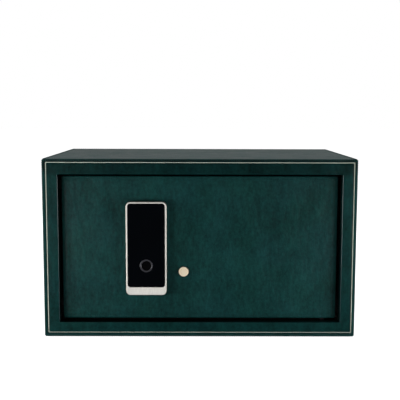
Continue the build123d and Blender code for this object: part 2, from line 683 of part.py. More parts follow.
def drive_pinion():
    """Involute pinion with its teeth thinned for backlash."""
    base = PITCH_RADIUS * cos(PRESSURE_ANGLE)
    tip, root = PITCH_RADIUS + PINION_TIP, PITCH_RADIUS - TOOTH_ROOT
    half_at_pitch = HALF_TOOTH / PITCH_RADIUS
    steps = 6
    radii = [base + (tip - base) * i / steps for i in range(steps + 1)]
    halves = [half_at_pitch + involute(PRESSURE_ANGLE) - involute(acos(base / r)) for r in radii]
    flank = [(root, halves[0])] + list(zip(radii, halves))
    points = []
    for tooth in range(PINION_TEETH):
        middle = 2 * pi * tooth / PINION_TEETH
        rising = [(r, middle - half) for r, half in flank]
        falling = [(r, middle + half) for r, half in reversed(flank)]
        points += [(MOTOR_X + r * sin(a), MOTOR_Z + r * cos(a)) for r, a in rising + falling]
    outline = make_face(Polyline(*points, close=True))
    wheel = prism_y(outline, (CARRIAGE_FRONT - 0.5, CARRIAGE_REAR + 0.5))
    return wheel - rod_y(SHAFT_RADIUS, MOTOR_X, (CARRIAGE_FRONT - 2, CARRIAGE_REAR + 2), MOTOR_Z)


def motor_shaft():
    return rod_y(SHAFT_RADIUS, MOTOR_X, (MOTOR_FACE - 6, CARRIAGE_REAR + 2), MOTOR_Z)


# ---- Emergency key ------------------------------------------------------------------------------
def key_barrel():
    barrel = rod_y(BARREL_RADIUS, KEY_X, (DOOR_FACE, BARREL_REAR), KEY_Z)
    barrel -= rod_y(5.6, KEY_X, (DOOR_FACE - 1, PLUG_FRONT), KEY_Z)
    return barrel - rod_y(PLUG_RADIUS + RUNNING_CLEARANCE, KEY_X, (DOOR_FACE, BARREL_REAR + 1), KEY_Z)


def key_barrel_nut():
    nut = prism_y(Pos(KEY_X, KEY_Z) * RegularPolygon(11.0, 6), (BASE_REAR, BASE_REAR + 5))
    return nut - rod_y(BARREL_RADIUS, KEY_X, (BASE_REAR - 1, BASE_REAR + 6), KEY_Z)


def key_plug():
    plug = rod_y(PLUG_RADIUS, KEY_X, (PLUG_FRONT, BARREL_REAR + 0.4), KEY_Z)
    plug += rod_y(3.0, KEY_X, (BARREL_REAR + 0.4, BARREL_REAR + 4.0), KEY_Z)
    keyway = span((KEY_X - 0.6, KEY_X + 0.6), (PLUG_FRONT - 1, PLUG_FRONT + 19), (KEY_Z - 3, KEY_Z + 3))
    return plug - keyway


def key_cam():
    """Tail on the inner end of the plug, hanging down at rest."""
    y = (BARREL_REAR + 0.4, BARREL_REAR + 2.9)
    arm = rod_y(6.0, KEY_X, y, KEY_Z) + span((KEY_X - 4, KEY_X + 4), y, (KEY_Z - CAM_LENGTH, KEY_Z))
    arm += rod_y(4.0, KEY_X, y, KEY_Z - CAM_LENGTH)
    return arm - rod_y(3.0, KEY_X, (y[0] - 1, y[1] + 1), KEY_Z)


def key_cap():
    """Push-in disc over the keyhole, with a bevelled rim and a spigot."""
    y = (DOOR_FACE - 2.7, DOOR_FACE - FREE_GAP)
    disc = rod_y(KEY_CAP_RADIUS, KEY_X, y, KEY_Z)
    disc = chamfer(disc.edges().group_by(Axis.Y)[0], 0.6)
    spigot = rod_y(5.2, KEY_X, (y[1], DOOR_FACE + 2.5), KEY_Z)
    return disc + spigot


# ---- Lock pad -----------------------------------------------------------------------------------
def pad_housing():
    """Metal frame with a window for the glass, hollow behind it."""
    height = PAD_HIGH - PAD_LOW
    glass_height = GLASS_HIGH - GLASS_LOW
    body = slab(PAD_WIDTH, height, 6.0, (PAD_FRONT, PAD_BACK), x=PAD_X, z=PAD_Z)
    body = fillet(body.edges().group_by(Axis.Y)[0], 0.9)
    body -= slab(GLASS_WIDTH, glass_height, 3.6, (PAD_FRONT - 1, PAD_FRONT + 1.5), x=PAD_X, z=GLASS_Z)
    body -= slab(GLASS_WIDTH - 6, glass_height - 7, 3.0, (PAD_FRONT, PAD_BACK - 2.5), x=PAD_X, z=GLASS_Z)
    width, slot_height, z = PAD_CABLE_SLOT
    body -= span((PAD_X - width / 2, PAD_X + width / 2), (PAD_BACK - 3, PAD_BACK + 1),
                 (z - slot_height / 2, z + slot_height / 2))
    return body - [rod_y(1.6, PAD_X, (PAD_BACK - 5.5, PAD_BACK + 1), screw_z) for screw_z in PAD_SCREW_ZS]


def touch_glass():
    height = GLASS_HIGH - GLASS_LOW - 0.2
    glass = slab(GLASS_WIDTH - 0.2, height, 3.5, (PAD_FRONT + 0.3, PAD_FRONT + 1.5), x=PAD_X, z=GLASS_Z)
    return glass - rod_y(SENSOR_RING[0], PAD_X, (PAD_FRONT - 1, PAD_FRONT + 3), SENSOR_Z)


def sensor_bezel():
    y = (PAD_FRONT + 0.1, PAD_FRONT + 1.7)
    ring = rod_y(SENSOR_RING[0] - 0.05, PAD_X, y, SENSOR_Z)
    return ring - rod_y(SENSOR_RING[1], PAD_X, (y[0] - 1, y[1] + 1), SENSOR_Z)


def fingerprint_sensor():
    return rod_y(SENSOR_RING[1] - 0.05, PAD_X, (PAD_FRONT + 0.5, PAD_BOARD_FRONT), SENSOR_Z)


def pad_circuit_board():
    height = GLASS_HIGH - GLASS_LOW - 9
    return slab(GLASS_WIDTH - 8, height, 2.0, (PAD_BOARD_FRONT, PAD_BOARD_FRONT + 1.6), x=PAD_X, z=GLASS_Z)


def pad_gasket():
    """Foam ring between the housing and the leather."""
    height = PAD_HIGH - PAD_LOW
    y = (PAD_BACK, DOOR_FACE)
    ring = slab(PAD_WIDTH - 2, height - 2, 5.0, y, x=PAD_X, z=PAD_Z)
    ring -= slab(PAD_WIDTH - 14, height - 18, 3.0, (y[0] - 1, y[1] + 1), x=PAD_X, z=PAD_Z)
    return ring - [rod_y(1.8, PAD_X, (y[0] - 1, y[1] + 1), screw_z) for screw_z in PAD_SCREW_ZS]


def pad_screws():
    length = PLATE_REAR - PAD_BACK + 4.5
    return group(screw(1.5, 3.4, 2.0, length, (PAD_X, PLATE_REAR, z)) for z in PAD_SCREW_ZS)


# ---- Write every node ---------------------------------------------------------------------------
def main():
    os.makedirs("parts", exist_ok=True)
    nodes = {
        "steel_wrapper": steel_wrapper(),
        "back_panel": back_panel(),
        "door_frame": door_frame(),
        "fascia_leather": fascia_leather(),
        "back_leather": back_leather(),
        "front_binding": binding((FRONT, FRONT + BINDING_WIDTH)),
        "rear_binding": binding((REAR - BINDING_WIDTH, REAR)),
        "contrast_stitching": contrast_stitching(),
        "floor_mat": floor_mat(),
        "hinge_brackets": hinge_brackets(),
        "hinge_bushes": hinge_bushes(),
        "door_stops": door_stops(),
        "stop_bumpers": stop_bumpers(),
        "rubber_feet": rubber_feet(),
        "door_plate": door_plate(),
        "door_leather": door_leather(),
        "hinge_blocks": hinge_blocks(),
        "hinge_pins": hinge_pins(),
        "hinge_spacer": hinge_spacer(),
        "lock_chassis": lock_chassis(),
        "chassis_screws": chassis_screws(),
        "bolt_guide": bolt_guide(),
        "carriage_posts": carriage_posts(),
        "gear_motor": gear_motor(),
        "motor_bracket": motor_bracket(),
        "control_board": control_board(),
        "reset_switch": reset_switch(),
        "reset_button": reset_button(),
        "battery_holder": battery_holder(),
        "battery_cells": battery_cells(),
        "battery_contacts": battery_contacts(),
        "battery_cover": battery_cover(),
        "lock_cover": lock_cover(),
        "cover_posts": cover_posts(),
        "cover_screws": cover_screws(),
        "bolt_carriage": bolt_carriage(),
        "bolt_screws": bolt_screws(),
        "drive_pinion": drive_pinion(),
        "motor_shaft": motor_shaft(),
        "key_barrel": key_barrel(),
        "key_barrel_nut": key_barrel_nut(),
        "key_plug": key_plug(),
        "key_cam": key_cam(),
        "key_cap": key_cap(),
        "pad_housing": pad_housing(),
        "touch_glass": touch_glass(),
        "sensor_bezel": sensor_bezel(),
        "fingerprint_sensor": fingerprint_sensor(),
        "pad_circuit_board": pad_circuit_board(),
        "pad_gasket": pad_gasket(),
        "pad_screws": pad_screws(),
    }
    for side, panel in mitred_panels().items():
        nodes[f"{side}_leather"] = panel
    nodes.update(wall_linings())
    nodes.update(bolts())
    for name, shape in nodes.items():
        save(name, shape)


main()
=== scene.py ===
import json
import math

import bmesh
import bpy
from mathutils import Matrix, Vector


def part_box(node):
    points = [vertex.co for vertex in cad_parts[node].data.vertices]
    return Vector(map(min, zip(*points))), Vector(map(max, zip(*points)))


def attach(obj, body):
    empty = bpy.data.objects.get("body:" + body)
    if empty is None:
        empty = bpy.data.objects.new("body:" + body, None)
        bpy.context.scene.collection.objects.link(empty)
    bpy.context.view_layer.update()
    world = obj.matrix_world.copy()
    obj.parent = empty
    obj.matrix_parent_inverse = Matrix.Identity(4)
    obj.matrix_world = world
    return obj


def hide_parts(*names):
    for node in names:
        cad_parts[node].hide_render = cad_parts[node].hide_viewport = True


# Leather-clad electronic safe: leather, stitching, felt and the lock pad's face are built here round
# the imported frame, and every carried-over CAD node gets its material. Metres, +Z up, front at -Y.

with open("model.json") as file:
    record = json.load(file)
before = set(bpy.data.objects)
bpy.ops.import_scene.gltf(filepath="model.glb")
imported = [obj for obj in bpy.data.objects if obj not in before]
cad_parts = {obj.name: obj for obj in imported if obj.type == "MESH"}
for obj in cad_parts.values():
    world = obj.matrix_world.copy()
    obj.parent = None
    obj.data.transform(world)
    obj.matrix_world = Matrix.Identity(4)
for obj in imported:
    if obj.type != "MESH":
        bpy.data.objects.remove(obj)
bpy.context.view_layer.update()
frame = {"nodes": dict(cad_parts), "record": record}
MM = 0.001

# ---- Sizes, from the frame where it has them ----
def half_size(low, high):
    """Half the width and height of a box."""
    return ((high.x - low.x) / 2, (high.z - low.z) / 2)


def middle(low, high):
    """Centre of a box seen from the front, as (x, z)."""
    return ((high.x + low.x) / 2, (high.z + low.z) / 2)


BODY_LOW, BODY_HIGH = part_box("front_binding")
REAR_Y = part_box("rear_binding")[1].y
FRONT_Y = BODY_LOW.y
BODY_HALF = half_size(BODY_LOW, BODY_HIGH)
BODY_CENTRE = middle(BODY_LOW, BODY_HIGH)
BODY_RADIUS = 2.5 * MM
LEATHER = 1.5 * MM                  # thickness
BINDING = BODY_HIGH.y - BODY_LOW.y
STITCH_PITCH = 3.15 * MM            # tone-on-tone edge stitches
CONTRAST_PITCH = 3.4 * MM           # pale stitches on the fascia
CONTRAST_INSETS = (5.6 * MM, 5.85 * MM, 4.5 * MM, 4.7 * MM)      # left, bottom, right, top
FACE_STEP = 0.35 * MM               # fascia leather, behind the edge strip's face
GROOVE_END = 6.2 * MM               # inner side of the pale stitches' groove, from the edge
FASCIA_TURN = 0.9 * MM              # rounding of the fascia into the jambs
JAMB_THINNING = 1.1 * MM            # the right jamb's leather is thinner than the left's

DOOR_LOW, DOOR_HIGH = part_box("door_leather")
DOOR_HALF = half_size(DOOR_LOW, DOOR_HIGH)
DOOR_CENTRE = middle(DOOR_LOW, DOOR_HIGH)
DOOR_FACE_Y = DOOR_LOW.y
GAP = 3.1 * MM                      # between the door and the jambs
LOWER_GAP = 3.5 * MM                # below the door
OPENING_LOW_Z = DOOR_LOW.z - LOWER_GAP
OPENING_HIGH_Z = DOOR_HIGH.z + GAP
OPENING_HALF = (DOOR_HALF[0] + GAP, (OPENING_HIGH_Z - OPENING_LOW_Z) / 2)
OPENING_CENTRE = (0.0, (OPENING_HIGH_Z + OPENING_LOW_Z) / 2)
JAMB_END_Y = DOOR_HIGH.y - 0.2 * MM

PAD_LOW, PAD_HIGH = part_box("pad_housing")
GLASS_LOW, GLASS_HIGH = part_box("touch_glass")
RING_LOW, RING_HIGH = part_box("sensor_bezel")
CAP_LOW, CAP_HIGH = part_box("key_cap")
PAD_CENTRE_X = middle(PAD_LOW, PAD_HIGH)[0]
RING_OFFSET = (0.45 * MM, -0.15 * MM)       # the ring's middle, from its seat in the glass
RING_LIP = 0.25 * MM                # the ring, past its seat all round
RING_SEAT = middle(RING_LOW, RING_HIGH)
RING_CENTRE = (RING_SEAT[0] + RING_OFFSET[0], RING_SEAT[1] + RING_OFFSET[1])
CAP_CENTRE = middle(CAP_LOW, CAP_HIGH)
ARC = 8                             # segments in a rounded corner


# ---- Mesh helpers ----
def link_object(name, data):
    obj = bpy.data.objects.new(name, data)
    bpy.context.scene.collection.objects.link(obj)
    return obj


def add_object(name, verts, faces, material, sharp=40):
    """A closed mesh with outward normals, smooth up to the sharp angle."""
    mesh = bpy.data.meshes.new(name)
    mesh.from_pydata([tuple(v) for v in verts], [], faces)
    work = bmesh.new()
    work.from_mesh(mesh)
    bmesh.ops.recalc_face_normals(work, faces=work.faces)
    work.to_mesh(mesh)
    work.free()
    finish_mesh(mesh, material, sharp)
    return link_object(name, mesh)


def finish_mesh(mesh, material, sharp):
    mesh.materials.clear()
    mesh.materials.append(material)
    mesh.polygons.foreach_set("use_smooth", [True] * len(mesh.polygons))
    mesh.set_sharp_from_angle(angle=math.radians(sharp))


def quarter_turn(radius, steps):
    """Points round a convex edge, from the face to the side, as (in from the side, in from the face)."""
    angles = [math.radians(90 * k / steps) for k in range(steps + 1)]
    return [(radius * (1 - math.sin(a)), radius * (1 - math.cos(a))) for a in angles]


def rect_loop(half, centre, radius, counts):
    """Points round a rounded rectangle in X and Z, each with its outward direction. counts is how many
    steps there are along the straight runs in X and in Z."""
    points = []
    for i, (sx, sz) in enumerate(((1, -1), (1, 1), (-1, 1), (-1, -1))):
        ox = centre[0] + sx * (half[0] - radius)
        oz = centre[1] + sz * (half[1] - radius)
        for k in range(ARC + 1):
            a = math.radians(-90 + 90 * i + 90 * k / ARC)
            points.append((ox + radius * math.cos(a), oz + radius * math.sin(a), math.cos(a), math.sin(a)))
        nx, nz = math.cos(math.radians(90 * i)), math.sin(math.radians(90 * i))
        axis = (i + 1) % 2
        run, steps = 2 * (half[axis] - radius), counts[axis]
        x0, z0 = points[-1][:2]
        for k in range(1, steps):
            d = run * k / steps
            points.append((x0 - nz * d, z0 + nx * d, nx, nz))
    return points


def loop_lengths(points):
    """Distance along the loop at each point, and the whole length."""
    total, lengths = 0.0, []
    for a, b in zip(points, points[1:] + points[:1]):
        lengths.append(total)
        total += math.hypot(b[0] - a[0], b[1] - a[1])
    return lengths, total


def sample_loop(points, lengths, total, s):
    """Place and outward direction at distance s along the loop."""
    s %= total
    index = max(i for i, length in enumerate(lengths) if length <= s)
    a, b = points[index], points[(index + 1) % len(points)]
    end = lengths[index + 1] if index + 1 < len(lengths) else total
    t = (s - lengths[index]) / max(end - lengths[index], 1e-9)
    x, z, nx, nz = (a[k] + (b[k] - a[k]) * t for k in range(4))
    n = math.hypot(nx, nz)
    return x, z, nx / n, nz / n


def sweep_faces(rows, count, closed=False):
    """Quads between neighbouring rows of points, on to the first row if closed, with capped ends if not."""
    faces = []
    for r in range(rows if closed else rows - 1):
        a, b = r * count, (r + 1) % rows * count
        faces += [(a + k, a + (k + 1) % count, b + (k + 1) % count, b + k) for k in range(count)]
    if not closed:
        faces += [tuple(range(count)), tuple(range((rows - 1) * count, rows * count))]
    return faces


def pucker(s, total):
    """A wave with one low point at each stitch, between -1 and 1."""
    number = round(total / STITCH_PITCH)
    return -math.cos(2 * math.pi * s * number / total)


def ring_parts(sections, counts, closed=True):
    """Verts and faces of rounded-rectangle loops joined into a ring, or capped at both ends if not closed.
    A section is (half sizes, centre, corner radius, y, pucker height)."""
    base = rect_loop(*sections[0][:3], counts)
    lengths, total = loop_lengths(base)
    verts = []
    for half, centre, radius, y, wave in sections:
        loop = rect_loop(half, centre, radius, counts)
        for (x, z, nx, nz), s in zip(loop, lengths):
            out = wave * pucker(s, total)
            verts.append((x + nx * out, y, z + nz * out))
    return verts, sweep_faces(len(sections), len(base), closed)


def inset(half, centre, radius, d, y, wave=0.0, least=0.4 * MM):
    """A section moved inward by d."""
    return ((half[0] - d, half[1] - d), centre, max(radius - d, least), y, wave)


def tube(points, radii, sides, twist=0.0, ply=0.0):
    """Verts and faces of a closed tube along points. ply swells it on two sides, which turn by twist."""
    verts = []
    points = [Vector(p) for p in points]
    up = None
    for i, p in enumerate(points):
        ahead = points[min(i + 1, len(points) - 1)] - points[max(i - 1, 0)]
        ahead.normalize()
        if up is None:
            up = ahead.orthogonal().normalized()
        up = (up - ahead * up.dot(ahead)).normalized()
        side = ahead.cross(up)
        for k in range(sides):
            a = 2 * math.pi * k / sides
            r = radii[i] * (1 + ply * math.cos(2 * (a - twist * i)))
            verts.append(p + (up * math.cos(a) + side * math.sin(a)) * r)
    return verts, sweep_faces(len(points), sides)


def join_parts(parts):
    """Several (verts, faces) as one."""
    verts, faces = [], []
    for part_verts, part_faces in parts:
        start = len(verts)
        verts += part_verts
        faces += [tuple(start + i for i in face) for face in part_faces]
    return verts, faces


def lathe(name, profile, centre, material, segments=128):
    """A solid turned about an axis along Y. profile is (radius, y), from the axis round to the axis, or a
    closed outline clear of the axis."""
    cx, cz = centre
    verts, rows = [], []
    for radius, y in profile:
        if radius == 0:
            rows.append([len(verts)])
            verts.append((cx, y, cz))
            continue
        rows.append(list(range(len(verts), len(verts) + segments)))
        for k in range(segments):
            a = 2 * math.pi * k / segments
            verts.append((cx + radius * math.cos(a), y, cz + radius * math.sin(a)))
    faces = []
    pairs = list(zip(rows, rows[1:]))
    if len(rows[0]) > 1:
        pairs.append((rows[-1], rows[0]))
    for a, b in pairs:
        for k in range(segments):
            n = (k + 1) % segments
            if len(a) == 1:
                faces.append((a[0], b[k], b[n]))
            elif len(b) == 1:
                faces.append((a[k], a[n], b[0]))
            else:
                faces.append((a[k], a[n], b[n], b[k]))
    return add_object(name, verts, faces, material)


def cylinder_between(start, end, radius):
    """Verts and faces of a cutter cylinder."""
    return tube([start, end], [radius, radius], 48)


def cut(obj, cutters, sharp=50):
    """Takes the cutters, as (verts, faces), out of obj."""
    material = obj.data.materials[0]
    tool = add_object("cutter", *join_parts(cutters), material)
    boolean = obj.modifiers.new("cut", "BOOLEAN")
    boolean.operation = "DIFFERENCE"
    boolean.solver = "EXACT"
    boolean.object = tool
    graph = bpy.context.evaluated_depsgraph_get()
    mesh = bpy.data.meshes.new_from_object(obj.evaluated_get(graph))
    obj.modifiers.clear()
    obj.data = mesh
    finish_mesh(mesh, material, sharp)
    bpy.data.objects.remove(tool)


def rounded_boxes(name, boxes, radius, material):
    """One object of separate boxes with rounded edges."""
    work = bmesh.new()
    for low, high in boxes:
        for v in bmesh.ops.create_cube(work, size=1.0)["verts"]:
            for axis in range(3):
                v.co[axis] = high[axis] if v.co[axis] > 0 else low[axis]
    bmesh.ops.bevel(work, geom=list(work.edges), offset=radius, segments=3, profile=0.5, affect="EDGES")
    mesh = bpy.data.meshes.new(name)
    work.to_mesh(mesh)
    work.free()
    finish_mesh(mesh, material, 50)
    return link_object(name, mesh)


# ---- Materials ----
class Shader:
    """A Principled material and short ways to wire nodes into it."""

    def __init__(self, name, **sockets):
        self.material = bpy.data.materials.new(name)
        self.material.use_nodes = True
        self.tree = self.material.node_tree
        self.bsdf = self.tree.nodes["Principled BSDF"]
        self.coords = self.node("ShaderNodeTexCoord").outputs["Object"]
        self.set(**sockets)

    def node(self, kind, inputs=None, **settings):
        node = self.tree.nodes.new(kind)
        for key, value in settings.items():
            setattr(node, key, value)
        for key, value in (inputs or {}).items():
            self.feed(node.inputs[key], value)
        return node

    def feed(self, socket, value):
        if isinstance(value, bpy.types.NodeSocket):
            self.tree.links.new(value, socket)
        else:
            socket.default_value = value

    def noise(self, scale, detail=3.0, rough=0.55, stretch=None):
        coords = self.coords if stretch is None else self.stretched(stretch)
        inputs = {"Vector": coords, "Scale": scale, "Detail": detail, "Roughness": rough}
        return self.node("ShaderNodeTexNoise", inputs).outputs["Fac"]

    def stretched(self, factors):
        mapping = self.node("ShaderNodeMapping", {"Vector": self.coords, "Scale": factors})
        return mapping.outputs["Vector"]

    def ramp(self, value, low, high, out_low, out_high):
        inputs = {"Value": value, "From Min": low, "From Max": high, "To Min": out_low, "To Max": out_high}
        return self.node("ShaderNodeMapRange", inputs).outputs["Result"]

    def maths(self, operation, a, b=0.0):
        return self.node("ShaderNodeMath", {0: a, 1: b}, operation=operation).outputs[0]

    def spread(self, value, out_low, out_high):
        """The middle range of a noise, spread between two values."""
        return self.ramp(value, 0.3, 0.7, out_low, out_high)

    def product(self, a, b):
        return self.maths("MULTIPLY", a, b)

    def mix(self, fac, a, b, clamp=True):
        inputs = {0: fac, 6: a, 7: b}
        return self.node("ShaderNodeMix", inputs, data_type="RGBA", clamp_factor=clamp).outputs[2]

    def shaded(self, tone, color):
        """A colour times a tone, which may pass 1."""
        return self.mix(tone, rgba((0.0, 0.0, 0.0)), color, clamp=False)

    def between(self, value, color, low, high):
        """A colour that drifts between two strengths with a noise."""
        return self.mix(self.spread(value, 0.0, 1.0), rgba(color, low), rgba(color, high))

    def cells(self, scale, randomness, feature):
        inputs = {"Vector": self.coords, "Scale": scale, "Randomness": randomness}
        return self.node("ShaderNodeTexVoronoi", inputs, feature=feature).outputs["Distance"]

    def rings(self, centre, z_scale, scale, distortion, detail):
        """Waves in rings about an axis along Y. A z_scale under 1 draws them out in Z."""
        offset = (centre[0], 0.0, centre[1])
        away = self.node("ShaderNodeVectorMath", {0: self.coords, 1: offset}, operation="SUBTRACT")
        inputs = {0: away.outputs[0], 1: (1.0, 0.0, z_scale)}
        flat = self.node("ShaderNodeVectorMath", inputs, operation="MULTIPLY")
        inputs = {"Vector": flat.outputs[0], "Scale": scale, "Distortion": distortion, "Detail": detail}
        wave = self.node("ShaderNodeTexWave", inputs, wave_type="RINGS", rings_direction="SPHERICAL")
        return wave.outputs["Fac"]

    def place(self, axis):
        return self.node("ShaderNodeSeparateXYZ", {0: self.coords}).outputs[axis]

    def rounded(self, radius):
        """Normal that rounds the sharp edges."""
        return self.node("ShaderNodeBevel", {"Radius": radius}, samples=4).outputs["Normal"]

    def bump(self, height, strength, distance, normal=None):
        inputs = {"Height": height, "Strength": strength, "Distance": distance}
        if normal is not None:
            inputs["Normal"] = normal
        return self.node("ShaderNodeBump", inputs).outputs["Normal"]

    def set(self, **sockets):
        for key, value in sockets.items():
            self.feed(self.bsdf.inputs[key.replace("_", " ")], value)
        return self.material


def rgba(color, factor=1.0):
    return tuple(c * factor for c in color) + (1.0,)


def edge_wear(shader, radius):
    """1 near convex edges and 0 on flats, from how far a rounded normal leaves the true one."""
    true_normal = shader.node("ShaderNodeNewGeometry").outputs["Normal"]
    inputs = {0: shader.rounded(radius), 1: true_normal}
    dot = shader.node("ShaderNodeVectorMath", inputs, operation="DOT_PRODUCT")
    return shader.ramp(dot.outputs["Value"], 0.995, 0.86, 0.0, 1.0)


GREEN = (0.0034, 0.0412, 0.0372)
TEAL = (0.0038, 0.0400, 0.0398)


def leather_material(name, tint=1.0, shine=0.21, top_painted_shade=1.0, top_z=0.0, recess_shade_y=None):
    """Fine-grained dyed leather: pebble grain, creases, streaks and slow drifts of colour and shine.
    Painted shade darkens its front face round top_z, and past a depth into the jamb the leather is darkened
    as painted shade, darkest at the left."""
    s = Shader(name, Specular_IOR_Level=shine)
    grain = s.cells(1100.0, 0.9, "SMOOTH_F1")
    crease = s.ramp(s.cells(560.0, 1.0, "DISTANCE_TO_EDGE"), 0.0, 0.12, 0.0, 1.0)
    drift = s.noise(9.0, 4.0)
    clouds = s.noise(34.0, 5.0, 0.6, (1.0, 1.0, 0.55))
    mottle = s.noise(240.0, 5.0, 0.65)
    streak = s.noise(190.0, 4.0, 0.65, (1.0, 1.0, 0.35))
    tone = s.spread(drift, 0.86, 1.08)
    for layer, reach in ((mottle, 0.27), (streak, 0.27), (clouds, 0.21)):
        tone = s.maths("ADD", tone, s.spread(layer, -reach, reach))
    # Painted shade: the grain's creases are darkened.
    tone = s.product(tone, s.ramp(crease, 0.0, 1.0, 0.76, 1.0))
    # Painted shade: the front face is darkened near the top.
    if top_painted_shade != 1.0:
        facing = s.node("ShaderNodeSeparateXYZ", {0: s.node("ShaderNodeNewGeometry").outputs["Normal"]})
        front = s.ramp(facing.outputs["Y"], -0.95, -0.7, 1.0, 0.0)
        high = s.ramp(s.place("Z"), top_z - 4 * MM, top_z + 2 * MM, 0.0, 1.0)
        tone = s.product(tone, s.ramp(s.product(front, high), 0.0, 1.0, 1.0, top_painted_shade))
    # Painted shade in the jamb recess: past a depth the leather is darkened, darkest at the left.
    if recess_shade_y is not None:
        jamb_shade_amount = s.ramp(s.place("X"), -OPENING_HALF[0], OPENING_HALF[0], 0.07, 0.40)
        outside_recess = s.ramp(s.place("Y"), recess_shade_y, recess_shade_y + 0.5 * MM, 1.0, 0.0)
        tone = s.product(tone, s.maths("MAXIMUM", outside_recess, jamb_shade_amount))
    hue = s.mix(s.ramp(s.noise(21.0, 4.0), 0.35, 0.65, 0.0, 1.0), rgba(GREEN, tint), rgba(TEAL, tint))
    rough = s.maths("ADD", s.ramp(mottle, 0.2, 0.8, 0.29, 0.43), s.spread(clouds, -0.04, 0.05))
    height = s.maths("ADD", s.product(grain, -0.6), s.product(crease, 0.5))
    fine = s.bump(height, 0.65, 0.12 * MM)
    crinkle = s.bump(streak, 0.5, 0.5 * MM, fine)
    broad = s.bump(clouds, 0.5, 1.2 * MM, crinkle)
    return s.set(Base_Color=s.shaded(tone, hue), Roughness=rough, Normal=broad)


def burnished_highlight_material(name, color):
    """Smooth glossy edge paint on a turned leather edge, its colour lighter and bluer than the leather as a
    painted highlight.
    """
    s = Shader(name, Specular_IOR_Level=0.4, Coat_Weight=0.25, Coat_Roughness=0.2)
    skin = s.noise(260.0)
    return s.set(Base_Color=s.between(skin, color, 0.85, 1.1), Roughness=s.spread(skin, 0.26, 0.36),
                 Normal=s.bump(skin, 0.2, 0.05 * MM))


def thread_material(name, color, rough, shine=0.25, low_painted_shade=1.0):
    """Twisted thread: fine diagonal ply lines and slight fading, with painted shade darkening the lowest
    run.
    """
    s = Shader(name, Specular_IOR_Level=shine, Sheen_Weight=0.6 * max(shine - 0.1, 0.0))
    inputs = {"Vector": s.coords, "Scale": 900.0, "Distortion": 1.5, "Detail": 1.0}
    ply = s.node("ShaderNodeTexWave", inputs, bands_direction="DIAGONAL").outputs["Fac"]
    fade = s.noise(120.0)
    tone = s.product(s.spread(fade, 0.90, 1.06), s.ramp(ply, 0.0, 1.0, 0.84, 1.0))
    # Painted shade: the lowest run is darkened.
    if low_painted_shade != 1.0:
        lowest = s.ramp(s.place("Z"), BODY_LOW.z + 7 * MM, BODY_LOW.z + 16 * MM, low_painted_shade, 1.0)
        tone = s.product(tone, lowest)
    return s.set(Base_Color=s.shaded(tone, rgba(color)), Normal=s.bump(ply, 0.6, 0.05 * MM),
                 Roughness=s.spread(fade, rough - 0.05, rough + 0.05))


def metal_material(name, color, rough, brushed=None, bevel=0.25, metallic=1.0, grain=0.25, shine=0.5):
    """Metal with a fine drawn or cast texture and softly rounded edges."""
    s = Shader(name, Metallic=metallic, Specular_IOR_Level=shine)
    lines = s.noise(420.0, 4.0, 0.6, brushed)
    smudge = s.noise(38.0, 4.0)
    tone = s.product(s.ramp(lines, 0.25, 0.75, 0.90, 1.05), s.spread(smudge, 0.94, 1.04))
    roughness = s.maths("ADD", s.ramp(lines, 0.25, 0.75, rough - 0.06, rough + 0.06),
                        s.spread(smudge, -0.03, 0.04))
    normal = s.bump(lines, grain, 0.03 * MM, s.rounded(bevel * MM))
    return s.set(Base_Color=s.shaded(tone, rgba(color)), Roughness=roughness, Normal=normal)


def powder_material(name, color):
    """Fine-texture powder coat, rubbed slightly lighter along edges."""
    s = Shader(name, Specular_IOR_Level=0.4)
    peel = s.noise(900.0, 3.0, 0.7)
    wear = s.product(edge_wear(s, 0.8 * MM), s.ramp(s.noise(260.0), 0.4, 0.7, 0.0, 0.6))
    colour = s.mix(wear, s.between(s.noise(14.0), color, 0.85, 1.15), rgba((0.12, 0.12, 0.125)))
    return s.set(Base_Color=colour, Roughness=s.spread(peel, 0.42, 0.6),
                 Normal=s.bump(peel, 0.5, 0.12 * MM, s.rounded(0.4 * MM)))


def felt_material(name, color):
    """Short-pile felt: matted fibres and a soft sheen."""
    s = Shader(name, Specular_IOR_Level=0.15, Sheen_Weight=0.6, Sheen_Roughness=0.5, Roughness=0.95)
    fibres = s.noise(1500.0, 5.0, 0.75)
    tufts = s.noise(220.0, 4.0, 0.7)
    tone = s.product(s.ramp(fibres, 0.25, 0.75, 0.7, 1.2), s.spread(tufts, 0.85, 1.12))
    height = s.maths("ADD", fibres, s.product(tufts, 0.7))
    return s.set(Base_Color=s.shaded(tone, rgba(color)), Normal=s.bump(height, 0.8, 0.35 * MM))


def plastic_material(name, color, rough, grain=600.0, depth=0.04, coat=0.0):
    """Moulded plastic or rubber with a spark-eroded skin."""
    s = Shader(name, Specular_IOR_Level=0.45, Coat_Weight=coat, Coat_Roughness=0.08)
    skin = s.noise(grain, 4.0, 0.65)
    return s.set(Base_Color=s.between(s.noise(30.0), color, 0.9, 1.12),
                 Roughness=s.spread(skin, rough - 0.05, rough + 0.06),
                 Normal=s.bump(skin, 0.5, depth * MM, s.rounded(0.3 * MM)))


def satin_material(name, color, stipple=False):
    """Bead-blasted, lightly lacquered metal, with a fine satin tooth or a punched stipple."""
    s = Shader(name, Metallic=0.10, Specular_IOR_Level=0.35)
    tooth = s.noise(900.0, 4.0, 0.6, (1.0, 1.0, 0.15))
    smudge = s.noise(30.0, 4.0)
    tone = s.product(s.spread(tooth, 0.93, 1.03), s.spread(smudge, 0.96, 1.02))
    edges = s.rounded(0.15 * MM)
    if stipple:
        dots = s.ramp(s.cells(1500.0, 0.55, "F1"), 0.05, 0.50, 0.0, 1.0)
        # Painted shade: the stipple's dimples are darkened.
        tone = s.product(tone, s.ramp(dots, 0.0, 1.0, 0.84, 1.02))
        normal = s.bump(dots, 0.9, 0.10 * MM, edges)
    else:
        normal = s.bump(tooth, 0.2, 0.02 * MM, edges)
    rough = s.spread(tooth, 0.42, 0.54)
    return s.set(Base_Color=s.shaded(tone, rgba(color)), Roughness=rough, Normal=normal)


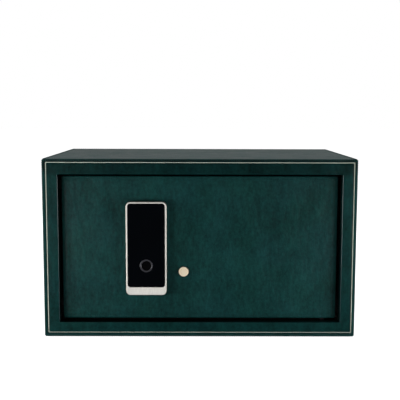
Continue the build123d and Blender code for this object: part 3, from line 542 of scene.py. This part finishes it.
def turned_material(name, color, centre):
    """Lacquered metal with fine concentric tool marks."""
    s = Shader(name, Metallic=0.08, Specular_IOR_Level=0.4)
    marks = s.rings(centre, 1.0, 1100.0, 0.6, 2.0)
    tone = s.product(s.ramp(marks, 0.0, 1.0, 0.94, 1.04), s.spread(s.noise(300.0), 0.97, 1.03))
    return s.set(Base_Color=s.shaded(tone, rgba(color)), Roughness=s.ramp(marks, 0.0, 1.0, 0.36, 0.48),
                 Normal=s.bump(marks, 0.5, 0.04 * MM))


def glass_material(name):
    """Black-backed touch glass with a matt anti-glare skin and a faint fingerprint haze."""
    s = Shader(name, Specular_IOR_Level=0.10)
    haze = s.noise(26.0, 5.0, 0.6)
    colour = s.mix(haze, rgba((0.0003, 0.0007, 0.0012)), rgba((0.0006, 0.0014, 0.0028)))
    return s.set(Base_Color=colour, Roughness=s.ramp(haze, 0.35, 0.75, 0.06, 0.14),
                 Normal=s.rounded(0.35 * MM))


def sensor_material(name, centre):
    """Black glass with faint ridges in whorls."""
    s = Shader(name, Specular_IOR_Level=0.12, Roughness=0.26)
    ridges = s.rings(centre, 0.75, 420.0, 2.5, 1.0)
    colour = s.mix(s.ramp(ridges, 0.45, 0.9, 0.0, 1.0), rgba((0.0003, 0.0003, 0.0005)),
                   rgba((0.0016, 0.0014, 0.0018)))
    return s.set(Base_Color=colour, Normal=s.bump(ridges, 0.2, 0.03 * MM))


def ring_material(name):
    """Smooth dark-grey anodised ring."""
    s = Shader(name, Metallic=0.35, Specular_IOR_Level=0.5)
    skin = s.noise(240.0)
    colour = s.mix(s.spread(skin, 0.0, 1.0), rgba((0.040, 0.040, 0.048)), rgba((0.046, 0.046, 0.055)))
    return s.set(Base_Color=colour, Roughness=s.spread(skin, 0.34, 0.40),
                 Normal=s.bump(skin, 0.05, 0.01 * MM))


def board_material(name):
    """Solder mask with faint copper tracks beneath it."""
    s = Shader(name, Specular_IOR_Level=0.5, Coat_Weight=0.3, Coat_Roughness=0.15)
    inputs = {"Vector": s.coords, "Scale": 260.0, "Mortar Size": 0.03, "Mortar": rgba((0.025, 0.10, 0.04)),
              "Color1": rgba((0.010, 0.055, 0.022)), "Color2": rgba((0.008, 0.045, 0.018))}
    tracks = s.node("ShaderNodeTexBrick", inputs)
    return s.set(Base_Color=tracks.outputs["Color"], Roughness=s.spread(s.noise(300.0), 0.3, 0.42),
                 Normal=s.bump(tracks.outputs["Fac"], 0.3, 0.05 * MM))


CHAMPAGNE = (0.86, 0.84, 0.78)

leather = leather_material("green_leather")
# Fascia: painted shade along the top of its front face and inside the jambs.
fascia_leather = leather_material("green_leather_fascia", 0.76, 0.10, 0.66, OPENING_HIGH_Z,
                                  FRONT_Y + FACE_STEP + FASCIA_TURN)
burnished_edge = burnished_highlight_material("burnished_edge", (0.014, 0.050, 0.056))
# Painted shade in the pale stitches' groove: the same leather, darkened.
groove_painted_shade = leather_material("green_leather_groove", 0.38, 0.05)
# Edge strip: painted shade along the top of its front face.
border_leather = leather_material("green_leather_border", 0.80, 0.15, 0.10, OPENING_HIGH_Z + 6 * MM)
cream_thread = thread_material("cream_thread", (0.70, 0.775, 0.655), 0.6, low_painted_shade=0.64)
green_thread = thread_material("green_thread", (0.0065, 0.054, 0.051), 0.5, 0.10)
door_thread = thread_material("door_thread", (0.006, 0.054, 0.052), 0.5, 0.06)
felt = felt_material("charcoal_felt", (0.046, 0.046, 0.050))
black_steel = powder_material("black_powder_coat", (0.012, 0.012, 0.013))
blackened_steel = metal_material("blackened_steel", (0.007, 0.007, 0.008), 0.6, metallic=0.2, shine=0.12)
zinc = metal_material("zinc_plate", (0.55, 0.56, 0.58), 0.36)
bright_steel = metal_material("bright_steel", (0.62, 0.62, 0.63), 0.22, brushed=(0.15, 1.0, 1.0))
brass = metal_material("brass", (0.62, 0.43, 0.16), 0.28)
pad_metal = satin_material("champagne_satin", CHAMPAGNE)
pad_stipple = satin_material("champagne_stipple", CHAMPAGNE, stipple=True)
# Polished champagne metal, darker than the face as painted shade, for the housing's rounded edge and sides.
pad_edge_shade = metal_material("champagne_polished", (0.46, 0.43, 0.38), 0.42, bevel=0.1, grain=0.02)
cap_metal = turned_material("cap_satin", (0.93, 0.805, 0.60), CAP_CENTRE)
# Dark polished metal on the cap's rounded rim and side: painted shade for the dark outline round the cap.
cap_rim_shade = metal_material("cap_polished", (0.13, 0.11, 0.08), 0.36, bevel=0.1, grain=0.02)
dark_chrome = ring_material("dark_chrome")
motor_metal = metal_material("drawn_can", (0.48, 0.48, 0.47), 0.34, brushed=(1.0, 0.1, 1.0))
nickel = metal_material("nickel", (0.60, 0.58, 0.53), 0.25)
touch_glass = glass_material("black_touch_glass")
sensor_black = sensor_material("sensor_black", RING_CENTRE)
rubber = plastic_material("black_rubber", (0.012, 0.012, 0.012), 0.75, 500.0, 0.08)
black_plastic = plastic_material("black_plastic", (0.020, 0.020, 0.021), 0.46, 900.0, 0.06)
red_plastic = plastic_material("red_plastic", (0.35, 0.012, 0.009), 0.35)
cell_jacket = plastic_material("cell_jacket", (0.03, 0.034, 0.04), 0.3, coat=0.4)
circuit_board = board_material("circuit_board")


# ---- Edge strips and edge stitches ----
STEPS_PER_STITCH = 6
EDGE_ROUND = 0.9 * MM
THREAD_RADIUS = 0.52 * MM
THREAD_LIFT = 0.18 * MM
THREAD_REACH = 3.2 * MM             # from the edge to where the thread dips into the leather
THREAD_SLANT = 0.55 * MM
FIRST_STITCH = 1.5 * MM             # along the long edges, from the edge strip


def edge_strip(name, y_face, inward):
    """Folded leather strip round the front or back edge. inward is +1 where the body lies towards +Y."""
    thick = LEATHER / MM
    # (in from the edge, depth, pucker height) in mm
    outer = [(4.0, 0.55, 0.0), (3.8, 0.16, 0.0), (3.3, 0.02, 0.0)]
    outer += [(d, depth, 0.05) for d, depth in quarter_turn(EDGE_ROUND / MM, 5)]
    outer += [(0.0, 3.3, 0.05), (0.1, 3.85, 0.03), (0.5, 4.0, 0.0)]
    inner = [(thick, 4.0, 0.0), (thick, thick, 0.0), (4.0, thick, 0.0)]
    sections = [
        inset(BODY_HALF, BODY_CENTRE, BODY_RADIUS, d * MM, y_face + inward * depth * MM, wave * MM)
        for d, depth, wave in outer + inner
    ]
    counts = tuple(round(2 * half / STITCH_PITCH * STEPS_PER_STITCH) for half in BODY_HALF)
    return add_object(name, *ring_parts(sections, counts), border_leather)


def over_edge(reach, rounding, lift, dip=0.25 * MM):
    """Path of a thread over a square edge, as (distance in from one face, distance in from the other)."""
    turn = [(d - lift, depth - lift) for d, depth in quarter_turn(rounding + lift, 4)]
    return [(reach, dip), (reach - dip, -lift)] + turn + [(-lift, reach - dip), (dip, reach)]


def whip_stitch(path, radius, slant, place):
    """One thread laid along path, thin at its ends. place turns (in, depth, along) into a point."""
    last = len(path) - 1
    points = [place(d, depth, slant * (2 * i / last - 1)) for i, (d, depth) in enumerate(path)]
    radii = [radius * (0.6 if i in (0, last) else 1.0) for i in range(len(path))]
    return tube(points, radii, 6)


def ring_stitches(name, y_face, inward):
    """Tone-on-tone whip stitches over the front or back edge."""
    base = rect_loop(BODY_HALF, BODY_CENTRE, BODY_RADIUS, (40, 24))
    lengths, total = loop_lengths(base)
    number = round(total / STITCH_PITCH)
    path = over_edge(THREAD_REACH, EDGE_ROUND, THREAD_LIFT)
    parts = []
    for k in range(number):
        x, z, nx, nz = sample_loop(base, lengths, total, total * k / number)

        def place(d, depth, along):
            return (x - nx * d - nz * along, y_face + inward * depth, z - nz * d + nx * along)

        parts.append(whip_stitch(path, THREAD_RADIUS, THREAD_SLANT, place))
    return add_object(name, *join_parts(parts), green_thread, 60)


def long_edge_stitches():
    """Tone-on-tone whip stitches over the four edges that run from front to back."""
    y0, y1 = FRONT_Y + BINDING + FIRST_STITCH, REAR_Y - BINDING - FIRST_STITCH
    number = round((y1 - y0) / STITCH_PITCH)
    path = over_edge(THREAD_REACH, BODY_RADIUS, THREAD_LIFT)
    parts = []
    for sx, sz in ((-1, -1), (-1, 1), (1, -1), (1, 1)):
        edge_x, edge_z = sx * BODY_HALF[0], BODY_CENTRE[1] + sz * BODY_HALF[1]
        for k in range(number + 1):
            y = y0 + (y1 - y0) * k / number

            def place(d, depth, along):
                return (edge_x - sx * d, y + along, edge_z - sz * depth)

            parts.append(whip_stitch(path, THREAD_RADIUS, THREAD_SLANT, place))
    return add_object("long_edge_stitches", *join_parts(parts), green_thread, 60)


# ---- Body panels ----
def panel_section(half_width):
    """Cross-section of one wrapped panel as (across, out, wave): outer face, then inner face."""
    centre = half_width - BODY_RADIUS
    seam_dip = 0.45 * MM
    outer = []
    for k in range(5):
        a = math.radians(45 + 45 * k / 4)
        radius = BODY_RADIUS - (seam_dip if k == 0 else 0.0)
        wave = 0.14 * MM if k < 3 else 0.07 * MM
        outer.append((centre + radius * math.cos(a), radius * math.sin(a) - BODY_RADIUS, wave))
    outer += [(centre - 3 * MM, 0.0, 0.03 * MM), (centre - 7 * MM, 0.0, 0.0)]
    inner_radius = BODY_RADIUS - LEATHER
    inner = []
    for k in range(4):
        a = math.radians(45 + 45 * k / 3)
        inner.append((centre + inner_radius * math.cos(a), inner_radius * math.sin(a) - BODY_RADIUS, 0.0))
    left = [(-x, out, wave) for x, out, wave in reversed(outer)]
    under_left = [(-x, out, wave) for x, out, wave in inner]
    return outer + left + under_left + inner[::-1]


def body_panel(name, half_width, place):
    """A leather panel from the front strip to the back strip. place turns (across, out) into (x, z)."""
    y0, y1 = FRONT_Y + BINDING, REAR_Y - BINDING
    rows = round((y1 - y0) / STITCH_PITCH) * STEPS_PER_STITCH
    section = panel_section(half_width)
    verts = []
    for r in range(rows + 1):
        y = y0 + (y1 - y0) * r / rows
        wave = -math.cos(2 * math.pi * (y - y0 - FIRST_STITCH) / STITCH_PITCH)
        for across, out, height in section:
            x, z = place(across, out + height * wave)
            verts.append((x, y, z))
    return add_object(name, verts, sweep_faces(rows + 1, len(section)), leather, 50)


def anchor_cutters(mount_name):
    """Cylinders through the anchor holes of a mount in the record."""
    mount = next(m for m in frame["record"]["mounts"] if m["name"] == mount_name)
    x, y, z = mount["pos_m"]
    dims = mount["dims"]
    radius = dims["hole_r_mm"] * MM
    half_x = dims["spacing_x_mm"] * MM / 2
    half_y = dims.get("spacing_y_mm", 0.0) * MM / 2
    reach = 20 * MM
    ends = []
    for hole_x in (x - half_x, x + half_x):
        if half_y:
            for hole_y in (y - half_y, y + half_y):
                ends.append(((hole_x, hole_y, -reach), (hole_x, hole_y, reach)))
        else:
            ends.append(((hole_x, y - reach, z), (hole_x, y + reach, z)))
    return [cylinder_between(start, end, radius) for start, end in ends]


def build_body_leather():
    side = BODY_HALF[0]
    low, high = BODY_LOW.z, BODY_HIGH.z
    mid = BODY_CENTRE[1]
    panels = {
        "top_leather": (BODY_HALF[0], lambda across, out: (across, high + out)),
        "bottom_leather": (BODY_HALF[0], lambda across, out: (across, low - out)),
        "left_leather": (BODY_HALF[1], lambda across, out: (-side - out, mid + across)),
        "right_leather": (BODY_HALF[1], lambda across, out: (side + out, mid + across)),
    }
    for node, (half_width, place) in panels.items():
        panel = body_panel(node.replace("leather", "leather_panel"), half_width, place)
        if node == "bottom_leather":
            cut(panel, anchor_cutters("base_anchor_holes"))
        dress(panel, "cabinet", "green_leather", node)
    back = rounded_boxes("back_leather_panel", [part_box("back_leather")], 0.5 * MM, leather)
    cut(back, anchor_cutters("back_anchor_holes"))
    dress(back, "cabinet", "green_leather", "back_leather")


def dress(piece, body, slot, *nodes):
    """Rides on its body and stands for the CAD nodes, which it hides; slot is not used."""
    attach(piece, body)
    if nodes:
        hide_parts(*nodes)


# ---- Fascia and contrast stitches ----
# The step beside the edge strip, then the groove, as (in from the body's edge, depth) in mm.
GROOVE = ((4.0, 0.7), (4.1, 0.35), (4.25, 0.25), (4.5, 0.45), (5.0, 0.62), (5.5, 0.45), (5.85, 0.12),
          (6.3, 0.0), (9.0, 0.0))


def build_fascia():
    """Leather over the front ring: a groove for the pale stitches, then a rounded turn into the jambs."""
    face_y = FRONT_Y + FACE_STEP

    def outer(d, depth):
        return inset(BODY_HALF, BODY_CENTRE, BODY_RADIUS, d * MM, face_y + depth * MM)

    def inner(e, y, thinning=JAMB_THINNING):
        half = (OPENING_HALF[0] + e * MM + thinning / 2, OPENING_HALF[1] + e * MM)
        centre = (OPENING_CENTRE[0] + thinning / 2, OPENING_CENTRE[1])
        return (half, centre, max((0.8 + e) * MM, 0.4 * MM), y, 0.0)

    turn = FASCIA_TURN / MM
    sections = [outer(d, depth) for d, depth in GROOVE]
    sections += [inner(6.0, face_y), inner(turn + 0.8, face_y)]
    sections += [inner(e, face_y + depth * MM) for e, depth in quarter_turn(turn, 6)]
    sections += [inner(e, JAMB_END_Y - short * MM) for e, short in ((0.0, 0.6), (0.2, 0.1), (0.45, 0.0))]
    sections += [inner(LEATHER / MM, y, 0.0) for y in (JAMB_END_Y, FRONT_Y + LEATHER)]
    sections.append(outer(4.0, (LEATHER - FACE_STEP) / MM))
    fascia = add_object("fascia_leather_ring", *ring_parts(sections, (72, 40)), fascia_leather, 50)
    fascia.data.materials.append(burnished_edge)
    fascia.data.materials.append(groove_painted_shade)
    # Index 2 darkens the groove as painted shade.
    for polygon in fascia.data.polygons:
        x, y, z = polygon.center
        depth = y - face_y
        from_edge = min(BODY_HALF[0] - abs(x), BODY_HALF[1] - abs(z - BODY_CENTRE[1]))
        # Painted highlight: only the upright turned edges, which face the side lamps, take the lighter
        # glossy finish.
        turned = 0.02 * MM < depth < FASCIA_TURN and abs(x) < OPENING_HALF[0] + 2.2 * MM
        upright = abs(z - OPENING_CENTRE[1]) < OPENING_HALF[1] - 0.5 * MM
        if from_edge < GROOVE_END and depth < 0.8 * MM:
            polygon.material_index = 2
        elif turned and upright:
            polygon.material_index = 1
    dress(fascia, "cabinet", "green_leather", "fascia_leather")


def contrast_stitch(start, end, radius, lift):
    """One plump stitch, its ends dipping into the leather."""
    points, radii = [], []
    steps = 8
    end_size = 0.62
    for i in range(steps + 1):
        rise = math.sin(math.pi * i / steps) if 0 < i < steps else 0.0
        p = Vector(start).lerp(Vector(end), i / steps)
        p.y -= lift * rise ** 0.5
        points.append(p)
        radii.append(radius * (end_size + (1 - end_size) * rise ** 0.6))
    return tube(points, radii, 10, twist=0.42, ply=0.07)


def build_contrast_stitches():
    left, low = BODY_LOW.x + CONTRAST_INSETS[0], BODY_LOW.z + CONTRAST_INSETS[1]
    right, high = BODY_HIGH.x - CONTRAST_INSETS[2], BODY_HIGH.z - CONTRAST_INSETS[3]
    y = FRONT_Y + FACE_STEP + 0.25 * MM
    lift = 0.38 * MM
    lean = 0.07 * MM                # each end, across the row
    radius = 0.52 * MM
    gap = 0.16 * MM                 # between two stitches
    corners = [(left, low), (right, low), (right, high), (left, high)]
    parts = []
    for (x0, z0), (x1, z1) in zip(corners, corners[1:] + corners[:1]):
        run = math.hypot(x1 - x0, z1 - z0)
        ux, uz = (x1 - x0) / run, (z1 - z0) / run
        number = round(run / CONTRAST_PITCH)
        pitch = run / number
        for k in range(number):
            a, b = k * pitch + gap / 2, (k + 1) * pitch - gap / 2
            start = (x0 + ux * a - uz * lean, y, z0 + uz * a + ux * lean)
            end = (x0 + ux * b + uz * lean, y, z0 + uz * b - ux * lean)
            parts.append(contrast_stitch(start, end, radius, lift))
    piece = add_object("contrast_stitches", *join_parts(parts), cream_thread, 60)
    dress(piece, "cabinet", "contrast_thread", "contrast_stitching")


# ---- Door ----
DOOR_TURN = 1.5 * MM
DOOR_THREAD_REACH = 4.6 * MM
DOOR_THREAD_RADIUS = 0.45 * MM
DOOR_THREAD_LIFT = 0.04 * MM
DOOR_THREAD_SLANT = 0.3 * THREAD_SLANT


def build_door_leather():
    """Leather wrapped over the plate's face and edges, drawn down a little along the stitched edges."""
    face = DOOR_FACE_Y

    def section(d, depth):
        return inset(DOOR_HALF, DOOR_CENTRE, 2.0 * MM, d * MM, face + depth * MM, least=0.6 * MM)

    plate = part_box("door_plate")
    edge_depth = (DOOR_HIGH.y - face) / MM
    wrap = (DOOR_HALF[0] - half_size(*plate)[0]) / MM
    # (in from the edge, depth) in mm: the face with its stitched dip, the turn, then the edge to the plate
    profile = [(9.0, 0.0), (7.0, 0.0), (5.4, 0.04), (4.7, 0.14), (4.0, 0.06), (2.6, 0.0)]
    profile += quarter_turn(DOOR_TURN / MM, 6)
    profile += [(0.0, edge_depth - 0.4), (0.25, edge_depth), (wrap, edge_depth)]
    profile.append((wrap, (plate[0].y - face) / MM))
    sections = [section(d, depth) for d, depth in profile]
    panel = add_object("door_leather_panel", *ring_parts(sections, (76, 40), closed=False), leather, 50)
    radius = half_size(*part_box("key_barrel"))[0] + 0.05 * MM
    x, z = CAP_CENTRE
    hole = cylinder_between((x, face - 10 * MM, z), (x, face + 10 * MM, z), radius)
    cut(panel, [hole])
    dress(panel, "door", "green_leather", "door_leather")


def build_door_stitches():
    """Tone-on-tone whip stitches over the door's upper and lower edges, longer on the face."""
    path = over_edge(DOOR_THREAD_REACH, DOOR_TURN, DOOR_THREAD_LIFT)[:-2]
    path += [(-DOOR_THREAD_LIFT, 2.6 * MM), (0.25 * MM, 2.9 * MM)]
    x1 = DOOR_HALF[0] - 3.0 * MM
    number = round(2 * x1 / STITCH_PITCH)
    parts = []
    for edge_z, inward in ((DOOR_LOW.z, 1), (DOOR_HIGH.z, -1)):
        for k in range(number + 1):
            x = -x1 + 2 * x1 * k / number

            def place(d, depth, along):
                return (x + along, DOOR_FACE_Y + depth, edge_z + inward * d)

            parts.append(whip_stitch(path, DOOR_THREAD_RADIUS, DOOR_THREAD_SLANT, place))
    piece = add_object("door_stitches", *join_parts(parts), door_thread, 60)
    dress(piece, "door", "green_leather")


# ---- Linings ----
def build_linings():
    thickness = 2 * MM
    low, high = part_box("side_linings")
    left = (low, Vector((low.x + thickness, high.y, high.z)))
    right = (Vector((high.x - thickness, low.y, low.z)), high)
    linings = (
        ("floor_mat", [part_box("floor_mat")], 0.7 * MM, "base_anchor_holes"),
        ("back_lining", [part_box("back_lining")], 0.5 * MM, "back_anchor_holes"),
        ("side_linings", [left, right], 0.5 * MM, None),
        ("roof_lining", [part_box("roof_lining")], 0.5 * MM, None),
    )
    for node, boxes, rounding, mount_name in linings:
        lining = rounded_boxes(node + "_felt", boxes, rounding, felt)
        if mount_name:
            cut(lining, anchor_cutters(mount_name))
        dress(lining, "cabinet", "lining_felt", node)


# ---- Lock pad and key cap ----
PAD_TRIM = 0.27 * MM                # the housing's sides, inside the frame's size
PAD_OFFSET = (0.37 * MM, -0.15 * MM)        # the housing's middle, from its place in the frame
PAD_TURN = 0.8 * MM                 # rounding of the housing's front edge
# Lip, inner wall and ledge behind the glass, as (out from the glass's edge, depth) in mm.
PAD_WINDOW = ((0.90, 0.0), (0.72, 0.06), (0.65, 0.22), (0.65, 2.0), (-2.0, 2.4))
BAR_DEPTH = 0.22 * MM
BAR_HALF_HEIGHT = 4.1 * MM


def bar_cutter(half_width, front):
    """Verts and faces of a rounded bar that reaches BAR_DEPTH into the housing, below the glass."""
    half = (half_width, BAR_HALF_HEIGHT)
    centre = (PAD_CENTRE_X, PAD_LOW.z + 1.5 * MM + BAR_HALF_HEIGHT)
    sections = [(half, centre, 3.2 * MM, y, 0.0) for y in (front - 1 * MM, front + BAR_DEPTH)]
    return ring_parts(sections, (10, 4), closed=False)


def build_pad_housing():
    """Rounded metal frame round the glass, with a sunk stippled bar below it."""
    full = half_size(PAD_LOW, PAD_HIGH)
    half = (full[0] - PAD_TRIM, full[1])
    centre = (PAD_CENTRE_X + PAD_OFFSET[0], middle(PAD_LOW, PAD_HIGH)[1] + PAD_OFFSET[1])
    glass_half = half_size(GLASS_LOW, GLASS_HIGH)
    window_centre = (centre[0], middle(GLASS_LOW, GLASS_HIGH)[1])
    front, back = PAD_LOW.y, PAD_HIGH.y
    back_depth = (back - front) / MM

    def outer(d, depth):
        return inset(half, centre, 6.0 * MM, d * MM, front + depth * MM)

    def inner(e, depth):
        grown = (glass_half[0] + e * MM, glass_half[1] + e * MM)
        return (grown, window_centre, (3.5 + e) * MM, front + depth * MM, 0.0)

    sections = [outer(0.0, back_depth)]
    sections += [outer(d, depth) for d, depth in reversed(quarter_turn(PAD_TURN / MM, 6))]
    sections += [inner(e, depth) for e, depth in PAD_WINDOW]
    sections.append(inner(PAD_WINDOW[-1][0], back_depth))
    housing = add_object("pad_frame", *ring_parts(sections, (16, 30)), pad_metal, 35)
    cut(housing, [bar_cutter(glass_half[0] - 0.3 * MM, front)], sharp=35)
    for finish in (pad_stipple, pad_edge_shade, black_plastic):
        housing.data.materials.append(finish)
    for polygon in housing.data.polygons:
        x, y, z = polygon.center
        beside = abs(x - window_centre[0]) < glass_half[0] + 1.2 * MM
        level = abs(z - window_centre[1]) < glass_half[1] + 1.5 * MM
        if y > front + 0.1 * MM and beside and level:
            polygon.material_index = 3
        elif abs(y - (front + BAR_DEPTH)) < 0.02 * MM and z < GLASS_LOW.z:
            polygon.material_index = 1
        # Index 2: the rounded edge and sides, darkened as painted shade.
        elif front + 0.02 * MM < y < front + PAD_TURN or polygon.normal.y > -0.5:
            polygon.material_index = 2
    dress(housing, "door", "pad_metal", "pad_housing")


def build_sensor():
    """Convex ring and slightly dished sensor."""
    sensor_low, sensor_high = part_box("fingerprint_sensor")
    sensor_radius = half_size(sensor_low, sensor_high)[0]
    outer = half_size(RING_LOW, RING_HIGH)[0] + RING_LIP
    inner = sensor_radius + 0.05 * MM
    mid, half_width = (outer + inner) / 2, (outer - inner) / 2
    crown = 0.55 * MM
    profile = [(inner, RING_HIGH.y), (outer, RING_HIGH.y)]
    for k in range(13):
        a = math.radians(180 * k / 12)
        profile.append((mid + half_width * math.cos(a), RING_LOW.y + crown * (1 - math.sin(a))))
    ring = lathe("sensor_ring", profile, RING_CENTRE, dark_chrome)
    dress(ring, "door", "dark_chrome", "sensor_bezel")
    dish = 0.35 * MM
    chamfer = 0.15 * MM
    front, back = sensor_low.y, sensor_high.y
    rim = sensor_radius - chamfer
    profile = [(0.0, back), (sensor_radius, back), (sensor_radius, front + chamfer), (rim, front)]
    for k in range(1, 10):
        profile.append((rim * (1 - k / 10), front + dish * math.sin(math.pi / 2 * k / 10)))
    profile.append((0.0, front + dish))
    sensor = lathe("sensor_face", profile, RING_CENTRE, sensor_black, 96)
    dress(sensor, "door", "sensor_black", "fingerprint_sensor")


CAP_RIM = 1.05 * MM                 # rounding of the cap's front edge
SPIGOT = 5.2 * MM                   # radius of the shank in the key barrel
# From the rim inward, as (share of the radius, depth in mm): a step, the groove, then a shallow dish.
CAP_FACE = ((0.82, 0.0), (0.79, 0.06), (0.75, 0.20), (0.71, 0.24), (0.69, 0.70), (0.60, 0.70), (0.58, 0.26),
            (0.46, 0.18), (0.30, 0.13), (0.12, 0.10), (0.0, 0.10))


def build_key_cap():
    """Turned cap: rounded rim, shallow dish and a groove, on its spigot."""
    radius = half_size(CAP_LOW, CAP_HIGH)[0]
    front, back = CAP_LOW.y, CAP_HIGH.y
    disc_back = DOOR_FACE_Y - 0.3 * MM
    spigot_chamfer = 0.5 * MM
    edge_chamfer = 0.2 * MM
    profile = [(0.0, back), (SPIGOT - spigot_chamfer, back), (SPIGOT, back - spigot_chamfer)]
    profile += [(SPIGOT, disc_back), (radius - edge_chamfer, disc_back), (radius, disc_back - edge_chamfer)]
    profile += [(radius - d, front + depth) for d, depth in reversed(quarter_turn(CAP_RIM, 5))]
    profile += [(radius * share, front + depth * MM) for share, depth in CAP_FACE]
    cap = lathe("key_cap_turned", profile, CAP_CENTRE, cap_metal)
    cap.data.materials.append(cap_rim_shade)
    # The rounded rim and side take the dark metal as painted shade.
    for polygon in cap.data.polygons:
        away = math.hypot(polygon.center.x - CAP_CENTRE[0], polygon.center.z - CAP_CENTRE[1])
        if abs(polygon.normal.y) < 0.9 and away > radius - CAP_RIM:
            polygon.material_index = 1
    dress(cap, "keyhole_cap", "cap_metal", "key_cap")


# ---- Carried-over CAD nodes ----
CAD_MATERIALS = {
    "black_steel": black_steel, "zinc_steel": zinc, "bright_steel": bright_steel,
    "black_rubber": rubber, "black_glass": touch_glass, "brass": brass, "circuit_board": circuit_board,
    "black_plastic": black_plastic, "cell_jacket": cell_jacket, "contact_nickel": nickel,
    "red_plastic": red_plastic, "motor_metal": motor_metal, "cap_metal": cap_metal, "pad_metal": pad_metal,
    "dark_chrome": dark_chrome, "sensor_black": sensor_black, "green_leather": leather,
    "contrast_thread": cream_thread, "lining_felt": felt,
}
BLACKENED = ("hinge_pins", "hinge_spacer", "hinge_bushes", "hinge_blocks", "hinge_brackets")


def dress_cad_nodes():
    """Gives each CAD node the material of its slot in the record, or the hinge's blackened finish."""
    slots = {part["node"]: part["material_slot"] for part in frame["record"]["subparts"]}
    for node, obj in frame["nodes"].items():
        obj.data.materials.clear()
        obj.data.materials.append(blackened_steel if node in BLACKENED else CAD_MATERIALS[slots[node]])


# ---- Stage, camera and lights ----
WHITE = (1.0, 1.0, 1.0)
FLOOR_HALF = 12.0
ROOM_LIGHT = 0.12                   # the world's strength on the object
CAMERA_PLACE = (-3.7 * MM, -1316.7 * MM, 314.6 * MM)
CAMERA_TURN = (90 - 7.338, -0.134, -0.181)          # degrees about X, Y and Z


def build_camera():
    camera = bpy.data.cameras.new("camera")
    camera.lens = 77.38
    camera.sensor_width = 36.0
    camera.shift_y = 0.05
    camera.clip_end = 50.0
    obj = link_object("camera", camera)
    obj.location = CAMERA_PLACE
    obj.rotation_euler = [math.radians(angle) for angle in CAMERA_TURN]
    bpy.context.scene.camera = obj


def area_light(name, place, target, size, power):
    light = bpy.data.lights.new(name, "AREA")
    light.shape = "RECTANGLE"
    light.size, light.size_y = size
    light.energy = power
    obj = link_object(name, light)
    obj.location = place
    obj.rotation_euler = (Vector(target) - Vector(place)).to_track_quat("-Z", "Y").to_euler()
    obj.visible_camera = False


def build_floor():
    corners = [(sx * FLOOR_HALF, sy * FLOOR_HALF, 0) for sx, sy in ((-1, -1), (1, -1), (1, 1), (-1, 1))]
    s = Shader("pale_floor", Roughness=0.9, Specular_IOR_Level=0.0, Emission_Strength=0.97)
    s.set(Base_Color=rgba((0.9, 0.9, 0.9)), Emission_Color=rgba(WHITE))
    floor = add_object("floor", corners, [(0, 1, 2, 3)], s.material)
    floor.visible_glossy = False
    floor.visible_diffuse = False


def build_world():
    """White to the camera, dim to the object."""
    world = bpy.data.worlds.new("studio")
    bpy.context.scene.world = world
    world.use_nodes = True
    nodes, links = world.node_tree.nodes, world.node_tree.links
    nodes.clear()
    mix = nodes.new("ShaderNodeMixShader")
    for socket, strength in ((1, ROOM_LIGHT), (2, 1.0)):
        background = nodes.new("ShaderNodeBackground")
        background.inputs["Color"].default_value = rgba(WHITE)
        background.inputs["Strength"].default_value = strength
        links.new(background.outputs[0], mix.inputs[socket])
    path = nodes.new("ShaderNodeLightPath")
    out = nodes.new("ShaderNodeOutputWorld")
    links.new(path.outputs["Is Camera Ray"], mix.inputs[0])
    links.new(mix.outputs[0], out.inputs[0])


def build_lights():
    front_centre = (0.0, FRONT_Y, 0.12)
    rear_centre = (0.0, REAR_Y, 0.12)
    area_light("soft_left", (-0.62, -0.54, 0.07), front_centre, (0.40, 0.22), 4.45)
    area_light("soft_right", (0.69, -0.56, 0.07), front_centre, (0.40, 0.22), 4.75)
    area_light("back_card", (0.0, 2.0, 0.9), (0.0, 0.0, 0.25), (3.2, 1.8), 3.45)
    area_light("overhead", (0.0, 0.1, 1.6), (0.0, 0.0, 0.2), (1.4, 1.0), 14.0)
    area_light("rear_left", (0.95, 1.10, 0.12), rear_centre, (0.5, 0.22), 5.0)
    area_light("rear_right", (-0.95, 1.10, 0.12), rear_centre, (0.5, 0.22), 4.0)
    settings = bpy.context.scene.view_settings
    settings.view_transform = "Standard"
    settings.look = "None"


# ---- Build ----
build_camera()
dress_cad_nodes()
dress(edge_strip("front_edge_strip", FRONT_Y, 1), "cabinet", "green_leather", "front_binding")
dress(edge_strip("rear_edge_strip", REAR_Y, -1), "cabinet", "green_leather", "rear_binding")
dress(ring_stitches("front_edge_stitches", FRONT_Y, 1), "cabinet", "green_leather")
dress(ring_stitches("rear_edge_stitches", REAR_Y, -1), "cabinet", "green_leather")
dress(long_edge_stitches(), "cabinet", "green_leather")
build_body_leather()
build_fascia()
build_contrast_stitches()
build_door_leather()
build_door_stitches()
build_linings()
build_pad_housing()
build_sensor()
build_key_cap()
build_floor()
build_world()
build_lights()
